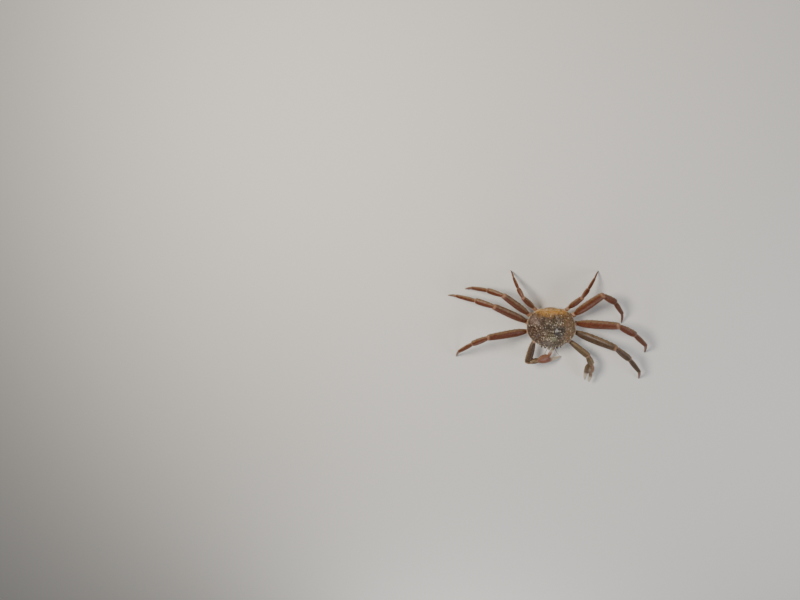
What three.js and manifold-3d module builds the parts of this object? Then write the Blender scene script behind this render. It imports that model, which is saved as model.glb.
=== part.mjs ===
// A life-size tanner crab (Chionoecetes bairdi, a large male) standing on its eight walking legs.
// The left claw reaches forward nearly closed, and the right one is folded across the face, open.
// Millimetres, +Z up. The crab faces -Y, and its own left is +X. Each hard plate is its own mesh.
import * as THREE from "three";
import { mergeVertices } from "three/addons/utils/BufferGeometryUtils.js";
import Module from "manifold-3d";

// Driving dimensions. The carapace's greatest width sets the size of the animal.
const CARAPACE_WIDTH = 138;
const HALF_WIDTH = CARAPACE_WIDTH / 2;
const MARGIN_HEIGHT = 58; // the carapace's side edge above the floor
const DOME_HEIGHT = 24; // the back above that edge, before its swellings
const SHELL_DEPTH = 11; // the carapace's turned-in lower wall, below that edge
const THORAX_DEPTH = 32; // the underside of the body, below that edge
const GAP = 0.3; // between plates that meet
const TIP_SINK = 0.8; // how far a leg's tip is ground off to stand flat on the floor

// Where the middle of the carapace stands, so that the origin is at the middle of the crab's foot print.
const BODY_X = 20;
const BODY_Y = 10.7;

const wasm = await Module();
wasm.setup();

// Angles and directions

const radians = THREE.MathUtils.degToRad;

// side is +1 for the crab's left and -1 for its right. Azimuth is 0 straight out to that side and
// positive towards the rear. Pitch is positive upwards.
function direction(side, azimuth, pitch) {
  const a = radians(azimuth);
  const p = radians(pitch);
  return new THREE.Vector3(side * Math.cos(p) * Math.cos(a), Math.cos(p) * Math.sin(a), Math.sin(p));
}

// Seeded random numbers from 0 to 1, so that every build gives the same crab.
function seeded(seed) {
  let state = seed;
  return () => {
    state = (state * 16807) % 2147483647;
    return state / 2147483647;
  };
}

// Closed solids

function toManifold(geometry) {
  const bare = geometry.clone();
  bare.deleteAttribute("normal");
  bare.deleteAttribute("uv");
  const merged = mergeVertices(bare, 1e-4);
  return new wasm.Manifold(
    new wasm.Mesh({
      numProp: 3,
      vertProperties: new Float32Array(merged.attributes.position.array),
      triVerts: new Uint32Array(merged.index.array),
    }),
  );
}

// A solid after its unions and cuts is only its largest closed surface.
function largest(manifold) {
  const bodies = manifold.decompose();
  return bodies.reduce((best, body) => (body.volume() > best.volume() ? body : best));
}

function toGeometry(manifold) {
  const mesh = manifold.getMesh();
  return new THREE.BufferGeometry()
    .setAttribute("position", new THREE.BufferAttribute(new Float32Array(mesh.vertProperties), 3))
    .setIndex(new THREE.BufferAttribute(new Uint32Array(mesh.triVerts), 1));
}

// A closed lathe of unit radius whose rows are numbered by their height, ready to be mapped.
function unitLathe(rows, sides) {
  const profile = [new THREE.Vector2(0, 0)];
  for (let row = 0; row < rows; row++) profile.push(new THREE.Vector2(1, row));
  profile.push(new THREE.Vector2(0, rows - 1));
  return new THREE.LatheGeometry(profile, sides);
}

// A loft through oval stations, each with a centre and two half-axes. A corner under 1 squares the oval.
function loft(stations, sides, corner = 1) {
  const geometry = unitLathe(stations.length, sides);
  const position = geometry.attributes.position;
  const round = (value) => Math.sign(value) * Math.abs(value) ** corner;
  for (let i = 0; i < position.count; i++) {
    const station = stations[Math.round(position.getY(i))];
    const point = station.centre
      .clone()
      .addScaledVector(station.thick, round(position.getX(i)))
      .addScaledVector(station.across, round(position.getZ(i)));
    position.setXYZ(i, point.x, point.y, point.z);
  }
  return toManifold(geometry);
}

// A frame has an origin, along, across (the way the limb bends) and thick, square to each other.
function frameOf(origin, along, towards) {
  const thick = new THREE.Vector3().crossVectors(along, towards).normalize();
  const across = new THREE.Vector3().crossVectors(thick, along).normalize();
  return { origin: origin.clone(), along: along.clone().normalize(), across, thick };
}

function pointIn(frame, along, across, thick) {
  return frame.origin
    .clone()
    .addScaledVector(frame.along, along)
    .addScaledVector(frame.across, across)
    .addScaledVector(frame.thick, thick);
}

// rows: [distance along, half-breadth, half-thickness, shift of the middle across]. swell grows it all round.
function limb(frame, rows, sides, swell = 0) {
  const last = rows.length - 1;
  const stations = rows.map(([along, breadth, thickness, shift = 0], row) => {
    const end = row === 0 ? -swell : row === last ? swell : 0;
    return {
      centre: pointIn(frame, along + end, shift, 0),
      across: frame.across.clone().multiplyScalar(breadth + swell),
      thick: frame.thick.clone().multiplyScalar(thickness + swell),
    };
  });
  return loft(stations, sides);
}

// A pointed spine whose root is sunk under the surface point that it stands on.
function spine(foot, outward, radius, height) {
  const sunk = radius * 1.2;
  const cone = new THREE.ConeGeometry(radius, height + sunk, 5);
  cone.applyQuaternion(
    new THREE.Quaternion().setFromUnitVectors(new THREE.Vector3(0, 1, 0), outward.clone().normalize()),
  );
  const middle = foot.clone().addScaledVector(outward.clone().normalize(), (height - sunk) / 2);
  cone.translate(middle.x, middle.y, middle.z);
  return toManifold(cone);
}

function union(pieces) {
  return pieces.reduce((whole, piece) => whole.add(piece));
}

function box(centre, size) {
  const block = new THREE.BoxGeometry(size.x, size.y, size.z);
  block.translate(centre.x, centre.y, centre.z);
  return toManifold(block);
}

// The model

const crab = new THREE.Group();
crab.position.set(BODY_X, BODY_Y, 0);

const MATERIALS = {
  shell: new THREE.MeshStandardMaterial({ color: 0x6f5a45, roughness: 0.42, metalness: 0 }),
  leg: new THREE.MeshStandardMaterial({ color: 0x8a4a28, roughness: 0.38, metalness: 0 }),
  joint: new THREE.MeshStandardMaterial({ color: 0xc08a6c, roughness: 0.45, metalness: 0 }),
  claw: new THREE.MeshStandardMaterial({ color: 0xa9705a, roughness: 0.38, metalness: 0 }),
  underside: new THREE.MeshStandardMaterial({ color: 0xd8bfa0, roughness: 0.5, metalness: 0 }),
  eye: new THREE.MeshStandardMaterial({ color: 0x2a1410, roughness: 0.12, metalness: 0 }),
};

// Each mesh has its origin at its own joint, turned with the plate.
function addPlate(name, manifold, frame, material) {
  const pose = new THREE.Matrix4()
    .makeBasis(frame.thick, frame.along, frame.across)
    .setPosition(frame.origin);
  const geometry = toGeometry(largest(manifold)).applyMatrix4(pose.clone().invert());
  geometry.computeVertexNormals();
  const mesh = new THREE.Mesh(geometry, MATERIALS[material]);
  mesh.name = name;
  pose.decompose(mesh.position, mesh.quaternion, mesh.scale);
  crab.add(mesh);
}

const BODY_FRAME = frameOf(
  new THREE.Vector3(0, 0, 0),
  new THREE.Vector3(0, 1, 0),
  new THREE.Vector3(0, 0, 1),
);

// Carapace

// The outline of one side seen from above, from the rear middle round to the front middle.
const OUTLINE = new THREE.CatmullRomCurve3(
  [
    [0, 61], [20, 61.5], [34, 59.5], [47, 52.5], [58.5, 41], [66.3, 25], [HALF_WIDTH, 8], [68, -7],
    [62.5, -22], [53, -34], [41.5, -43], [30, -50], [19.5, -53], [9, -56], [0, -56],
  ].map(([x, y]) => new THREE.Vector3(x, y, 0)),
);
const OUTLINE_POINTS = OUTLINE.getPoints(160);

// The outline's distance from the middle of the back in a direction, the angle being 0 at the rear.
function outlineRadius(angle) {
  const turn = Math.abs(Math.atan2(Math.sin(angle), Math.cos(angle)));
  let best = OUTLINE_POINTS[0];
  let least = Infinity;
  for (const point of OUTLINE_POINTS) {
    const off = Math.abs(Math.atan2(point.x, point.y) - turn);
    if (off < least) {
      least = off;
      best = point;
    }
  }
  return best.length();
}

// Swellings of the back: [x, y, height, reach across, reach along]. Those off the middle line are on both
// sides.
const SWELLINGS = [
  [0, -15, 4.5, 15, 17],
  [0, 24, 5, 11, 11],
  [37, 17, 5.5, 17, 24],
  [33, -33, 2.5, 9, 8],
];
// The groove between the stomach's swelling, the heart's and the gills', on one side.
const GROOVE = [[12, 46], [17, 32], [14, 14], [19, 2], [29, -13], [45, -27]];
const GROOVE_DEPTH = 3.2;
const GROOVE_REACH = 4.5;

function distanceToPath(x, y, path) {
  let least = Infinity;
  for (let i = 1; i < path.length; i++) {
    const [ax, ay] = path[i - 1];
    const [bx, by] = path[i];
    const dx = bx - ax;
    const dy = by - ay;
    const share = THREE.MathUtils.clamp(((x - ax) * dx + (y - ay) * dy) / (dx * dx + dy * dy), 0, 1);
    least = Math.min(least, Math.hypot(x - ax - share * dx, y - ay - share * dy));
  }
  return least;
}

// The side edge sinks towards the rear and lifts towards the face.
function marginHeight(y) {
  const rear = Math.max(y, 0) / 62;
  const front = Math.max(-y, 0) / 56;
  return MARGIN_HEIGHT - 9 * rear ** 2 + 4 * front ** 2;
}

function backHeight(x, y) {
  const share = Math.min(Math.hypot(x, y) / outlineRadius(Math.atan2(x, y)), 1);
  let height = marginHeight(y) + DOME_HEIGHT * (1 - share ** 2.3) ** 0.72;
  const fade = 1 - share ** 6;
  for (const [sx, sy, amount, across, along] of SWELLINGS) {
    const off = ((Math.abs(x) - sx) / across) ** 2 + ((y - sy) / along) ** 2;
    height += amount * fade * Math.exp(-off);
  }
  const off = distanceToPath(Math.abs(x), y, GROOVE) / GROOVE_REACH;
  return height - GROOVE_DEPTH * fade * Math.exp(-(off ** 2));
}

function backPoint(x, y) {
  return new THREE.Vector3(x, y, backHeight(x, y));
}

function backNormal(x, y) {
  const step = 1.5;
  const slopeX = (backHeight(x + step, y) - backHeight(x - step, y)) / (2 * step);
  const slopeY = (backHeight(x, y + step) - backHeight(x, y - step)) / (2 * step);
  return new THREE.Vector3(-slopeX, -slopeY, 1).normalize();
}

// Rows from the middle of the underside out to the edge and up over the back: [share of the outline, drop].
const CARAPACE_ROWS = [
  [0.87, SHELL_DEPTH], [0.96, SHELL_DEPTH * 0.45], [1, 0], [0.96, null], [0.9, null], [0.81, null],
  [0.71, null], [0.6, null], [0.48, null], [0.36, null], [0.24, null], [0.12, null],
];
const CARAPACE_SIDES = 44;
const SHELL_BASE = MARGIN_HEIGHT - SHELL_DEPTH;

function carapaceShell() {
  const geometry = unitLathe(CARAPACE_ROWS.length, CARAPACE_SIDES);
  const position = geometry.attributes.position;
  for (let i = 0; i < position.count; i++) {
    const row = Math.round(position.getY(i));
    const onAxis = Math.hypot(position.getX(i), position.getZ(i)) < 0.5;
    const [rowShare, drop] = CARAPACE_ROWS[row];
    const angle = Math.atan2(position.getX(i), position.getZ(i));
    const reach = onAxis ? 0 : rowShare * outlineRadius(angle);
    const x = -reach * Math.sin(angle);
    const y = reach * Math.cos(angle);
    const z = drop === null ? backHeight(x, y) : Math.max(marginHeight(y) - drop, SHELL_BASE);
    position.setXYZ(i, x, y, row === 0 ? SHELL_BASE : z);
  }
  return toManifold(geometry);
}

const random = seeded(1451);
const carapacePieces = [carapaceShell()];

// Spines along the side edge, longest at the front corners.
const EDGE_SPINES = 11;
for (const side of [1, -1]) {
  for (let i = 0; i < EDGE_SPINES; i++) {
    const share = i / (EDGE_SPINES - 1);
    const point = OUTLINE.getPoint(0.3 + 0.48 * share);
    const outward = new THREE.Vector3(side * point.x, point.y, 8).normalize();
    const foot = new THREE.Vector3(side * point.x, point.y, marginHeight(point.y) + 0.8);
    carapacePieces.push(spine(foot.addScaledVector(outward, -0.6), outward, 1.7, 2.2 + 2.4 * share));
  }
}

// Tubercles of the back in rows on its swellings: [x, y] on one side, the middle line included.
const TUBERCLES = [
  [0, -30], [0, -18], [0, -5], [0, 17], [0, 30], [9, -24], [10, -11], [8, 24], [20, -30],
  [27, -36], [36, -36], [26, 0], [31, 12], [35, 25], [32, 38], [41, 2], [47, 14], [48, 28], [42, 41],
  [50, -12], [57, -2], [60, 12], [58, 27], [16, -42], [22, 49], [9, 50], [40, -22], [20, 16],
];
for (const [x, y] of TUBERCLES) {
  for (const side of x === 0 ? [1] : [1, -1]) {
    const px = side * x + (random() - 0.5) * 2;
    const py = y + (random() - 0.5) * 2;
    const size = 1.7 + 0.7 * random();
    carapacePieces.push(spine(backPoint(px, py), backNormal(px, py), size, size * 1.15));
  }
}

// The two corner spines of the rear edge, and a row of small beads between them.
for (const side of [1, -1]) {
  const corner = new THREE.Vector3(side * 34.5, 59.6, marginHeight(59.6) + 0.5);
  carapacePieces.push(spine(corner, new THREE.Vector3(side * 0.45, 1, 0.35), 2.2, 5));
}
const REAR_BEADS = 9;
for (let i = 0; i < REAR_BEADS; i++) {
  const x = -32 + (64 * i) / (REAR_BEADS - 1);
  carapacePieces.push(spine(backPoint(x, 57.5), backNormal(x, 57.5), 1.6, 1.5));
}

// The two flat horns of the snout, and the spine outside each eye.
for (const side of [1, -1]) {
  const hornRoot = new THREE.Vector3(side * 4.6, -50, 61.5);
  const hornWay = new THREE.Vector3(side * 0.12, -1, -0.05).normalize();
  const horn = frameOf(hornRoot, hornWay, new THREE.Vector3(side, 0, 0));
  carapacePieces.push(limb(horn, [[0, 4.4, 3], [6, 4.2, 2.8], [11, 2.8, 2], [16, 0.5, 0.6]], 6));
  const eyeSpine = frameOf(
    new THREE.Vector3(side * 24.5, -47, 61),
    new THREE.Vector3(side * 0.35, -1, 0.05).normalize(),
    new THREE.Vector3(side, 0, 0),
  );
  carapacePieces.push(limb(eyeSpine, [[0, 3.6, 3], [5, 3, 2.4], [11.5, 0.5, 0.5]], 6));
}

let carapace = union(carapacePieces);

// Eyes, each a ball on a short stalk set in a notch of the carapace

const EYE_RADIUS = 3.7;
function eyeBody(side, swell) {
  const root = new THREE.Vector3(side * 12.5, -48.5, 57.5);
  const outwards = new THREE.Vector3(side * 0.5, -1, 0.22).normalize();
  const stalk = frameOf(root, outwards, new THREE.Vector3(0, 0, 1));
  const ball = new THREE.SphereGeometry(EYE_RADIUS + swell, 10, 7);
  const centre = pointIn(stalk, 9.5, 0, 0);
  ball.translate(centre.x, centre.y, centre.z);
  const eye = limb(stalk, [[-2, 2.6, 2.6], [3, 2.5, 2.5], [9, 2.7, 2.7]], 8, swell).add(toManifold(ball));
  return { eye, stalk };
}
for (const side of [1, -1]) {
  const { eye, stalk } = eyeBody(side, 0);
  addPlate(side > 0 ? "eye_left" : "eye_right", eye, stalk, "eye");
  carapace = carapace.subtract(eyeBody(side, GAP).eye);
}

// Antennae: slim whips that start under the snout

for (const side of [1, -1]) {
  const root = new THREE.Vector3(side * 7.2, -52.5, 54.2);
  const forwards = new THREE.Vector3(side * 0.28, -1, -0.02).normalize();
  const whip = frameOf(root, forwards, new THREE.Vector3(side, 0, 0));
  const bow = (along) => 0.0045 * along * along;
  const rows = [[-2.5, 1.6], [4, 1.7], [8, 1.3], [15, 0.95], [23, 0.75], [32, 0.55], [41, 0.35]];
  const shape = (swell) =>
    limb(whip, rows.map(([along, thick]) => [along, thick, thick, bow(Math.max(along, 0))]), 6, swell);
  addPlate(side > 0 ? "antenna_left" : "antenna_right", shape(0), whip, "joint");
  carapace = carapace.subtract(shape(GAP));
}

// Legs

// Half-breadths and half-thicknesses of a long walking leg's plates. A row's distance is a share of the
// plate's length plus millimetres: [share, millimetres, half-breadth, half-thickness, shift].
const MERUS = [
  [0, -4, 3.8, 3.6], [0, 1, 6.2, 5.6], [0, 7, 8.4, 6.6], [0.2, 0, 12.2, 8.4], [0.42, 0, 13.5, 9.2],
  [0.72, 0, 12.3, 8.7], [1, -4, 10.8, 8.3], [1, 2.5, 9.6, 7.4], [1, 5, 6.4, 4.8],
];
const CARPUS = [
  [0, -4, 3.4, 3.2], [0, 1, 5.8, 5.2], [0, 6, 7.4, 6], [0.4, 0, 9.9, 7.3], [0.7, 0, 10.5, 7.6],
  [1, -2, 9.8, 7.3], [1, 2, 8.4, 6.4], [1, 4, 5.6, 4.3],
];
const PROPODUS = [
  [0, -3.5, 3, 2.8], [0, 1, 4.9, 4.5], [0, 6, 6.2, 5.2], [0.32, 0, 7.9, 5.9], [0.65, 0, 7.1, 5.4],
  [1, -2, 6, 4.8], [1, 2, 4.9, 4], [1, 3.5, 3.2, 2.6],
];
const DACTYL = [
  [0, -3, 2, 1.9], [0, 1, 3.2, 3], [0, 6, 4.3, 3.5], [0.3, 0, 4.6, 3.6, -1.2], [0.6, 0, 3.7, 3, -1],
  [0.85, 0, 2.4, 2.2, -0.3], [1, 0, 1.3, 1.3, 0.3],
];
const BASE = [
  [0, -7, 6.6, 6.4], [0, 0, 8.8, 8.6], [0, 6, 9, 8.6], [0, 9.5, 7.6, 7.2], [0, 13, 8.4, 7.4],
  [1, -3, 8.6, 7.4], [1, 1.5, 7.6, 6.6], [1, 3.5, 5.2, 4.8],
];

function rowsFor(shape, length, girth) {
  return shape.map(([share, extra, breadth, thickness, shift = 0]) => [
    share * length + extra * (share > 0 || extra > 0 ? Math.min(girth, 1) : 1),
    breadth * girth,
    thickness * girth,
    shift * girth,
  ]);
}

// Spines along one edge of a plate: edge is -1 for the outer one, away from the way that the leg bends, and
// +1 for the inner one. lean tips them towards the plate's far end.
function edgeSpines(frame, rows, count, from, to, radius, height, edge = -1, lean = 0.55) {
  const pieces = [];
  for (let i = 0; i < count; i++) {
    const along = from + ((to - from) * i) / Math.max(count - 1, 1);
    const next = Math.max(rows.findIndex((row) => row[0] >= along), 1);
    const [a, b] = [rows[next - 1], rows[next]];
    const share = (along - a[0]) / (b[0] - a[0]);
    const breadth = THREE.MathUtils.lerp(a[1], b[1], share);
    const shift = THREE.MathUtils.lerp(a[3], b[3], share);
    const outward = frame.across.clone().multiplyScalar(edge).addScaledVector(frame.along, lean);
    pieces.push(spine(pointIn(frame, along, shift + edge * (breadth - 0.5), 0), outward, radius, height));
  }
  return pieces;
}

const LEG_SPINE_RADIUS = 1.5;
// Walking legs from front to rear. root: where the leg leaves the body. lengths: merus, carpus, propodus,
// dactyl. spines: how many stand on the merus and on the carpus. coarser: sides fewer round each plate.
// Each side states how that leg stands: out is the base's azimuth and azimuth the merus's, rise is the
// merus's pitch, roll turns the plane that the leg bends in forward from the vertical, and ankle and toe
// are the bends at the last two joints. The knee closes until the tip touches the floor. face turns the
// broad faces of the plates further up than that plane.
const WALKING_LEGS = [
  {
    root: [46, -12], reach: 24, girth: 1, lengths: [120, 56, 74, 60], spines: [6, 2], coarser: 0, face: 40,
    left: { out: -8, azimuth: -15, rise: 23, roll: 42, ankle: 20, toe: 24 },
    right: { out: -2, azimuth: -1, rise: 24, roll: 38, ankle: 20, toe: 26 },
  },
  {
    root: [49, 10], reach: 24, girth: 1.02, lengths: [124, 57, 74, 60], spines: [6, 2], coarser: 0, face: 36,
    left: { out: 6, azimuth: 8, rise: 28, roll: 48, ankle: 22, toe: 26 },
    right: { out: 20, azimuth: 38, rise: 28, roll: 32, ankle: 22, toe: 24 },
  },
  {
    root: [46, 31], reach: 24, girth: 0.94, lengths: [114, 50, 66, 52], spines: [5, 2], coarser: 0, face: 26,
    left: { out: 26, azimuth: 46, rise: 26, roll: 63, ankle: 21, toe: 19 },
    right: { out: 30, azimuth: 50, rise: 30, roll: 40, ankle: 24, toe: 22 },
  },
  {
    root: [37, 48.5], reach: 19, girth: 0.7, lengths: [62, 30, 42, 36], spines: [3, 0], coarser: 2, face: 75,
    left: { out: 42, azimuth: 50, rise: 32, roll: 0, ankle: 18, toe: 12 },
    right: { out: 46, azimuth: 58, rise: 36, roll: 0, ankle: 18, toe: 12 },
  },
];
const ROOT_HEIGHT = MARGIN_HEIGHT - 20;
const BASE_PITCH = 8;
const DOWN = new THREE.Vector3(0, 0, -1);

// The plane that a leg bends in: square to the merus, downwards, rolled forward about the merus.
function bendWay(merus, roll) {
  const down = DOWN.clone().addScaledVector(merus, -DOWN.dot(merus)).normalize();
  const forward = new THREE.Vector3().crossVectors(merus, down);
  if (forward.y > 0) forward.negate();
  return down.multiplyScalar(Math.cos(radians(roll))).addScaledVector(forward, Math.sin(radians(roll)));
}

// How far the broad faces are twisted about a plate's own length, away from the plane that the leg bends in.
function faceTwist(merus, bend, facing) {
  const sine = merus.dot(new THREE.Vector3().crossVectors(bend, facing));
  return Math.atan2(sine, bend.dot(facing));
}

// The frames of a leg's four plates for a bend at the knee.
function legFrames(start, merus, bend, twist, lengths, knee, stand) {
  const frames = [];
  let joint = start.clone();
  let turned = 0;
  [0, knee, stand.ankle, stand.toe].forEach((angle, i) => {
    turned += radians(angle);
    const along = merus.clone().multiplyScalar(Math.cos(turned)).addScaledVector(bend, Math.sin(turned));
    const towards = bend.clone().multiplyScalar(Math.cos(turned)).addScaledVector(merus, -Math.sin(turned));
    frames.push(frameOf(joint, along, towards.applyAxisAngle(along, twist)));
    joint = joint.clone().addScaledVector(along, lengths[i]);
  });
  return { frames, tip: joint };
}

function kneeOnFloor(start, merus, bend, twist, lengths, stand) {
  let low = 0;
  let high = 120;
  for (let i = 0; i < 50; i++) {
    const middle = (low + high) / 2;
    if (legFrames(start, merus, bend, twist, lengths, middle, stand).tip.z > -TIP_SINK) low = middle;
    else high = middle;
  }
  return low;
}

const floorBlock = box(new THREE.Vector3(0, 0, -25), new THREE.Vector3(1200, 1200, 50));
const LEG_SIDES = [10, 9, 8, 7];
const bases = [];

// Adds a chain of plates. Each is cut back from the swollen next one, so that every joint is a socket.
function addChain(name, plates) {
  plates.forEach((plate, i) => {
    let body = limb(plate.frame, plate.rows, plate.sides);
    if (plate.extra) body = union([body, ...plate.extra]);
    const next = plates[i + 1];
    if (next) body = body.subtract(limb(next.frame, next.rows, next.sides, GAP));
    body = body.subtract(floorBlock);
    addPlate(name + "_" + plate.part, body, plate.frame, plate.material);
  });
}

for (const leg of WALKING_LEGS) {
  for (const side of [1, -1]) {
    const stand = side > 0 ? leg.left : leg.right;
    const number = WALKING_LEGS.indexOf(leg) + 1;
    const root = new THREE.Vector3(side * leg.root[0], leg.root[1], ROOT_HEIGHT);
    const out = direction(side, stand.out, BASE_PITCH);
    const start = root.clone().addScaledVector(out, leg.reach);
    const merus = direction(side, stand.azimuth, stand.rise);
    const bend = bendWay(merus, stand.roll);
    const twist = faceTwist(merus, bend, bendWay(merus, stand.roll + leg.face));
    const knee = kneeOnFloor(start, merus, bend, twist, leg.lengths, stand);
    const { frames } = legFrames(start, merus, bend, twist, leg.lengths, knee, stand);
    const shapes = [MERUS, CARPUS, PROPODUS, DACTYL];
    const parts = ["merus", "carpus", "propodus", "dactyl"];
    const baseFrame = frameOf(root, out, new THREE.Vector3(0, -1, 0));
    const baseRows = rowsFor(BASE, leg.reach, leg.girth);
    const plates = [{ part: "base", frame: baseFrame, rows: baseRows, sides: 8, material: "joint" }];
    frames.forEach((frame, i) => {
      const rows = rowsFor(shapes[i], leg.lengths[i], leg.girth);
      const plate = { part: parts[i], frame, rows, sides: LEG_SIDES[i] - leg.coarser, material: "leg" };
      const [from, to] = [0.2 * leg.lengths[i], 0.9 * leg.lengths[i]];
      const radius = LEG_SPINE_RADIUS * leg.girth;
      if (i < 2) plate.extra = edgeSpines(frame, rows, leg.spines[i], from, to, radius, radius * 1.6);
      plates.push(plate);
    });
    addChain("leg_" + (side > 0 ? "left_" : "right_") + number, plates);
    bases.push({ frame: baseFrame, rows: baseRows });
  }
}

// Claw legs

const CLAW_ROOT = [36, -31];
const CLAW_REACH = 22;
const CLAW_LENGTHS = { merus: 66, carpus: 28, palm: 40, finger: 44 };
const CLAW_MERUS = [
  [0, -4, 3.8, 3.6], [0, 1, 6, 5.6], [0, 7, 8, 7], [0.4, 0, 10.6, 9], [1, -4, 11, 9.2],
  [1, 2.5, 9, 7.6], [1, 5, 6, 5],
];
const CLAW_CARPUS = [
  [0, -4, 3.4, 3.2], [0, 1, 5.8, 5.4], [0, 5, 7.4, 6.8], [0.55, 0, 10.6, 9], [1, -3, 9.8, 8.6],
  [1, 2, 8, 7.2], [1, 4, 5.2, 4.6],
];
// The palm runs on into the fixed finger, whose rows are shifted to the lower side.
const PALM = [
  [0, -4, 3.4, 3.2], [0, 1, 5.6, 5.2], [0, 5, 8.4, 6.8], [0.35, 0, 13, 9], [0.7, 0, 14.4, 9.4],
  [0.93, 0, 13.6, 8.6], [1, 3, 7.4, 6.8, 6], [1, 15, 5.6, 5.2, 6.6], [1, 29, 4, 3.8, 5.4],
  [1, 39, 2.4, 2.6, 3.4], [1, 44, 0.9, 1, 1.8],
];
const FINGER = [
  [0, -3, 2.6, 2.6], [0, 1.5, 4.6, 4.4], [0, 7, 5.6, 5.2, -0.8], [0.4, 0, 5, 4.6, -0.8],
  [0.72, 0, 3.4, 3.4, 0.6], [0.92, 0, 2, 2.1, 2.6], [1, 0, 0.8, 0.9, 3.8],
];
// Blunt teeth along the biting edge of each finger, and their reach along it.
const TEETH = 5;
const TOOTH_RADIUS = 1.5;
const TOOTH_HEIGHT = 1.3;
const CLAW_SPINES = { merus: 5, carpus: 3, palm: 4 };
const CLAW_SPINE_RADIUS = 1.5;
const CLAW_SPINE_HEIGHT = 2.4;
const HINGE_OFFSET = 6.6; // from the palm's middle line up to the movable finger's hinge
// How each claw leg stands. flat is the way the palm's lower edge faces, before it is squared up.
const CLAWS = [
  {
    side: 1, out: -36, merus: [-38, 14], carpus: [-70, -8], palm: [-100, -26],
    flat: [-1, 0.1, -0.45], open: 10,
  },
  {
    side: -1, out: -48, merus: [-74, 10], carpus: [170, -6], palm: [-178, -33],
    flat: [0.1, -0.93, -0.1], open: 58,
  },
];

for (const claw of CLAWS) {
  const { side } = claw;
  const root = new THREE.Vector3(side * CLAW_ROOT[0], CLAW_ROOT[1], ROOT_HEIGHT);
  const ways = [
    direction(side, claw.out, BASE_PITCH),
    direction(side, ...claw.merus),
    direction(side, ...claw.carpus),
    direction(side, ...claw.palm),
  ];
  const lengths = [CLAW_REACH, CLAW_LENGTHS.merus, CLAW_LENGTHS.carpus];
  const joints = [root];
  lengths.forEach((length, i) => joints.push(joints[i].clone().addScaledVector(ways[i], length)));
  const lower = new THREE.Vector3(...claw.flat);
  const frames = [
    frameOf(joints[0], ways[0], new THREE.Vector3(0, -1, 0)),
    frameOf(joints[1], ways[1], ways[2]),
    frameOf(joints[2], ways[2], ways[3]),
    frameOf(joints[3], ways[3], lower),
  ];
  const palm = frames[3];
  const hinge = pointIn(palm, CLAW_LENGTHS.palm, -HINGE_OFFSET, 0);
  const opened = radians(claw.open);
  const fingerWay = palm.along.clone().multiplyScalar(Math.cos(opened));
  fingerWay.addScaledVector(palm.across, -Math.sin(opened));
  const fingerFrame = frameOf(hinge, fingerWay, palm.across);
  const baseRows = rowsFor(BASE, CLAW_REACH, 1);
  const merusRows = rowsFor(CLAW_MERUS, CLAW_LENGTHS.merus, 1);
  const carpusRows = rowsFor(CLAW_CARPUS, CLAW_LENGTHS.carpus, 1);
  const palmRows = rowsFor(PALM, CLAW_LENGTHS.palm, 1);
  const fingerRows = rowsFor(FINGER, CLAW_LENGTHS.finger, 1);
  const spines = (frame, rows, count, length) =>
    edgeSpines(frame, rows, count, 0.25 * length, 0.88 * length, CLAW_SPINE_RADIUS, CLAW_SPINE_HEIGHT);
  const teeth = (frame, rows, from, to, edge) =>
    edgeSpines(frame, rows, TEETH, from, to, TOOTH_RADIUS, TOOTH_HEIGHT, edge, 0);
  const fingerStart = CLAW_LENGTHS.palm + 10;
  addChain(side > 0 ? "claw_left" : "claw_right", [
    { part: "base", frame: frames[0], rows: baseRows, sides: 8, material: "joint" },
    {
      part: "merus", frame: frames[1], rows: merusRows, sides: 10, material: "leg",
      extra: spines(frames[1], merusRows, CLAW_SPINES.merus, CLAW_LENGTHS.merus),
    },
    {
      part: "carpus", frame: frames[2], rows: carpusRows, sides: 10, material: "claw",
      extra: spines(frames[2], carpusRows, CLAW_SPINES.carpus, CLAW_LENGTHS.carpus),
    },
    {
      part: "palm", frame: palm, rows: palmRows, sides: 12, material: "claw",
      extra: [
        ...spines(palm, palmRows, CLAW_SPINES.palm, CLAW_LENGTHS.palm * 0.75),
        ...teeth(palm, palmRows, fingerStart, fingerStart + CLAW_LENGTHS.finger * 0.6, -1),
      ],
    },
    {
      part: "finger", frame: fingerFrame, rows: fingerRows, sides: 10, material: "claw",
      extra: teeth(fingerFrame, fingerRows, 0.28 * CLAW_LENGTHS.finger, 0.86 * CLAW_LENGTHS.finger, 1),
    },
  ]);
  bases.push({ frame: frames[0], rows: baseRows });
}

// Underside: the thorax between the legs, the tail folded under it, and the mouth plates

const THORAX_BOTTOM = MARGIN_HEIGHT - THORAX_DEPTH;
const THORAX_TOP = SHELL_BASE - GAP;
// [y, half-width, height of the bottom] from rear to front.
const THORAX_ROWS = [
  [54, 15, 33], [50, 26, 30], [40, 38, THORAX_BOTTOM + 1.5], [22, 47, THORAX_BOTTOM],
  [0, 50, THORAX_BOTTOM], [-18, 46, THORAX_BOTTOM + 0.6], [-30, 38, THORAX_BOTTOM + 2.6],
  [-40, 29, 31.8], [-47, 23, 36.6], [-51, 18, 42],
];
const ABOVE = 14; // the loft passes this far over the thorax's top, and is cut off there
let thorax = loft(
  THORAX_ROWS.map(([y, halfWidth, bottom]) => {
    const half = (THORAX_TOP + ABOVE - bottom) / 2;
    return {
      centre: new THREE.Vector3(0, y, bottom + half),
      across: new THREE.Vector3(0, 0, half),
      thick: new THREE.Vector3(-halfWidth, 0, 0),
    };
  }),
  18,
  0.62,
);
thorax = thorax.subtract(box(new THREE.Vector3(0, 0, THORAX_TOP + 30), new THREE.Vector3(200, 200, 60)));

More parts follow.
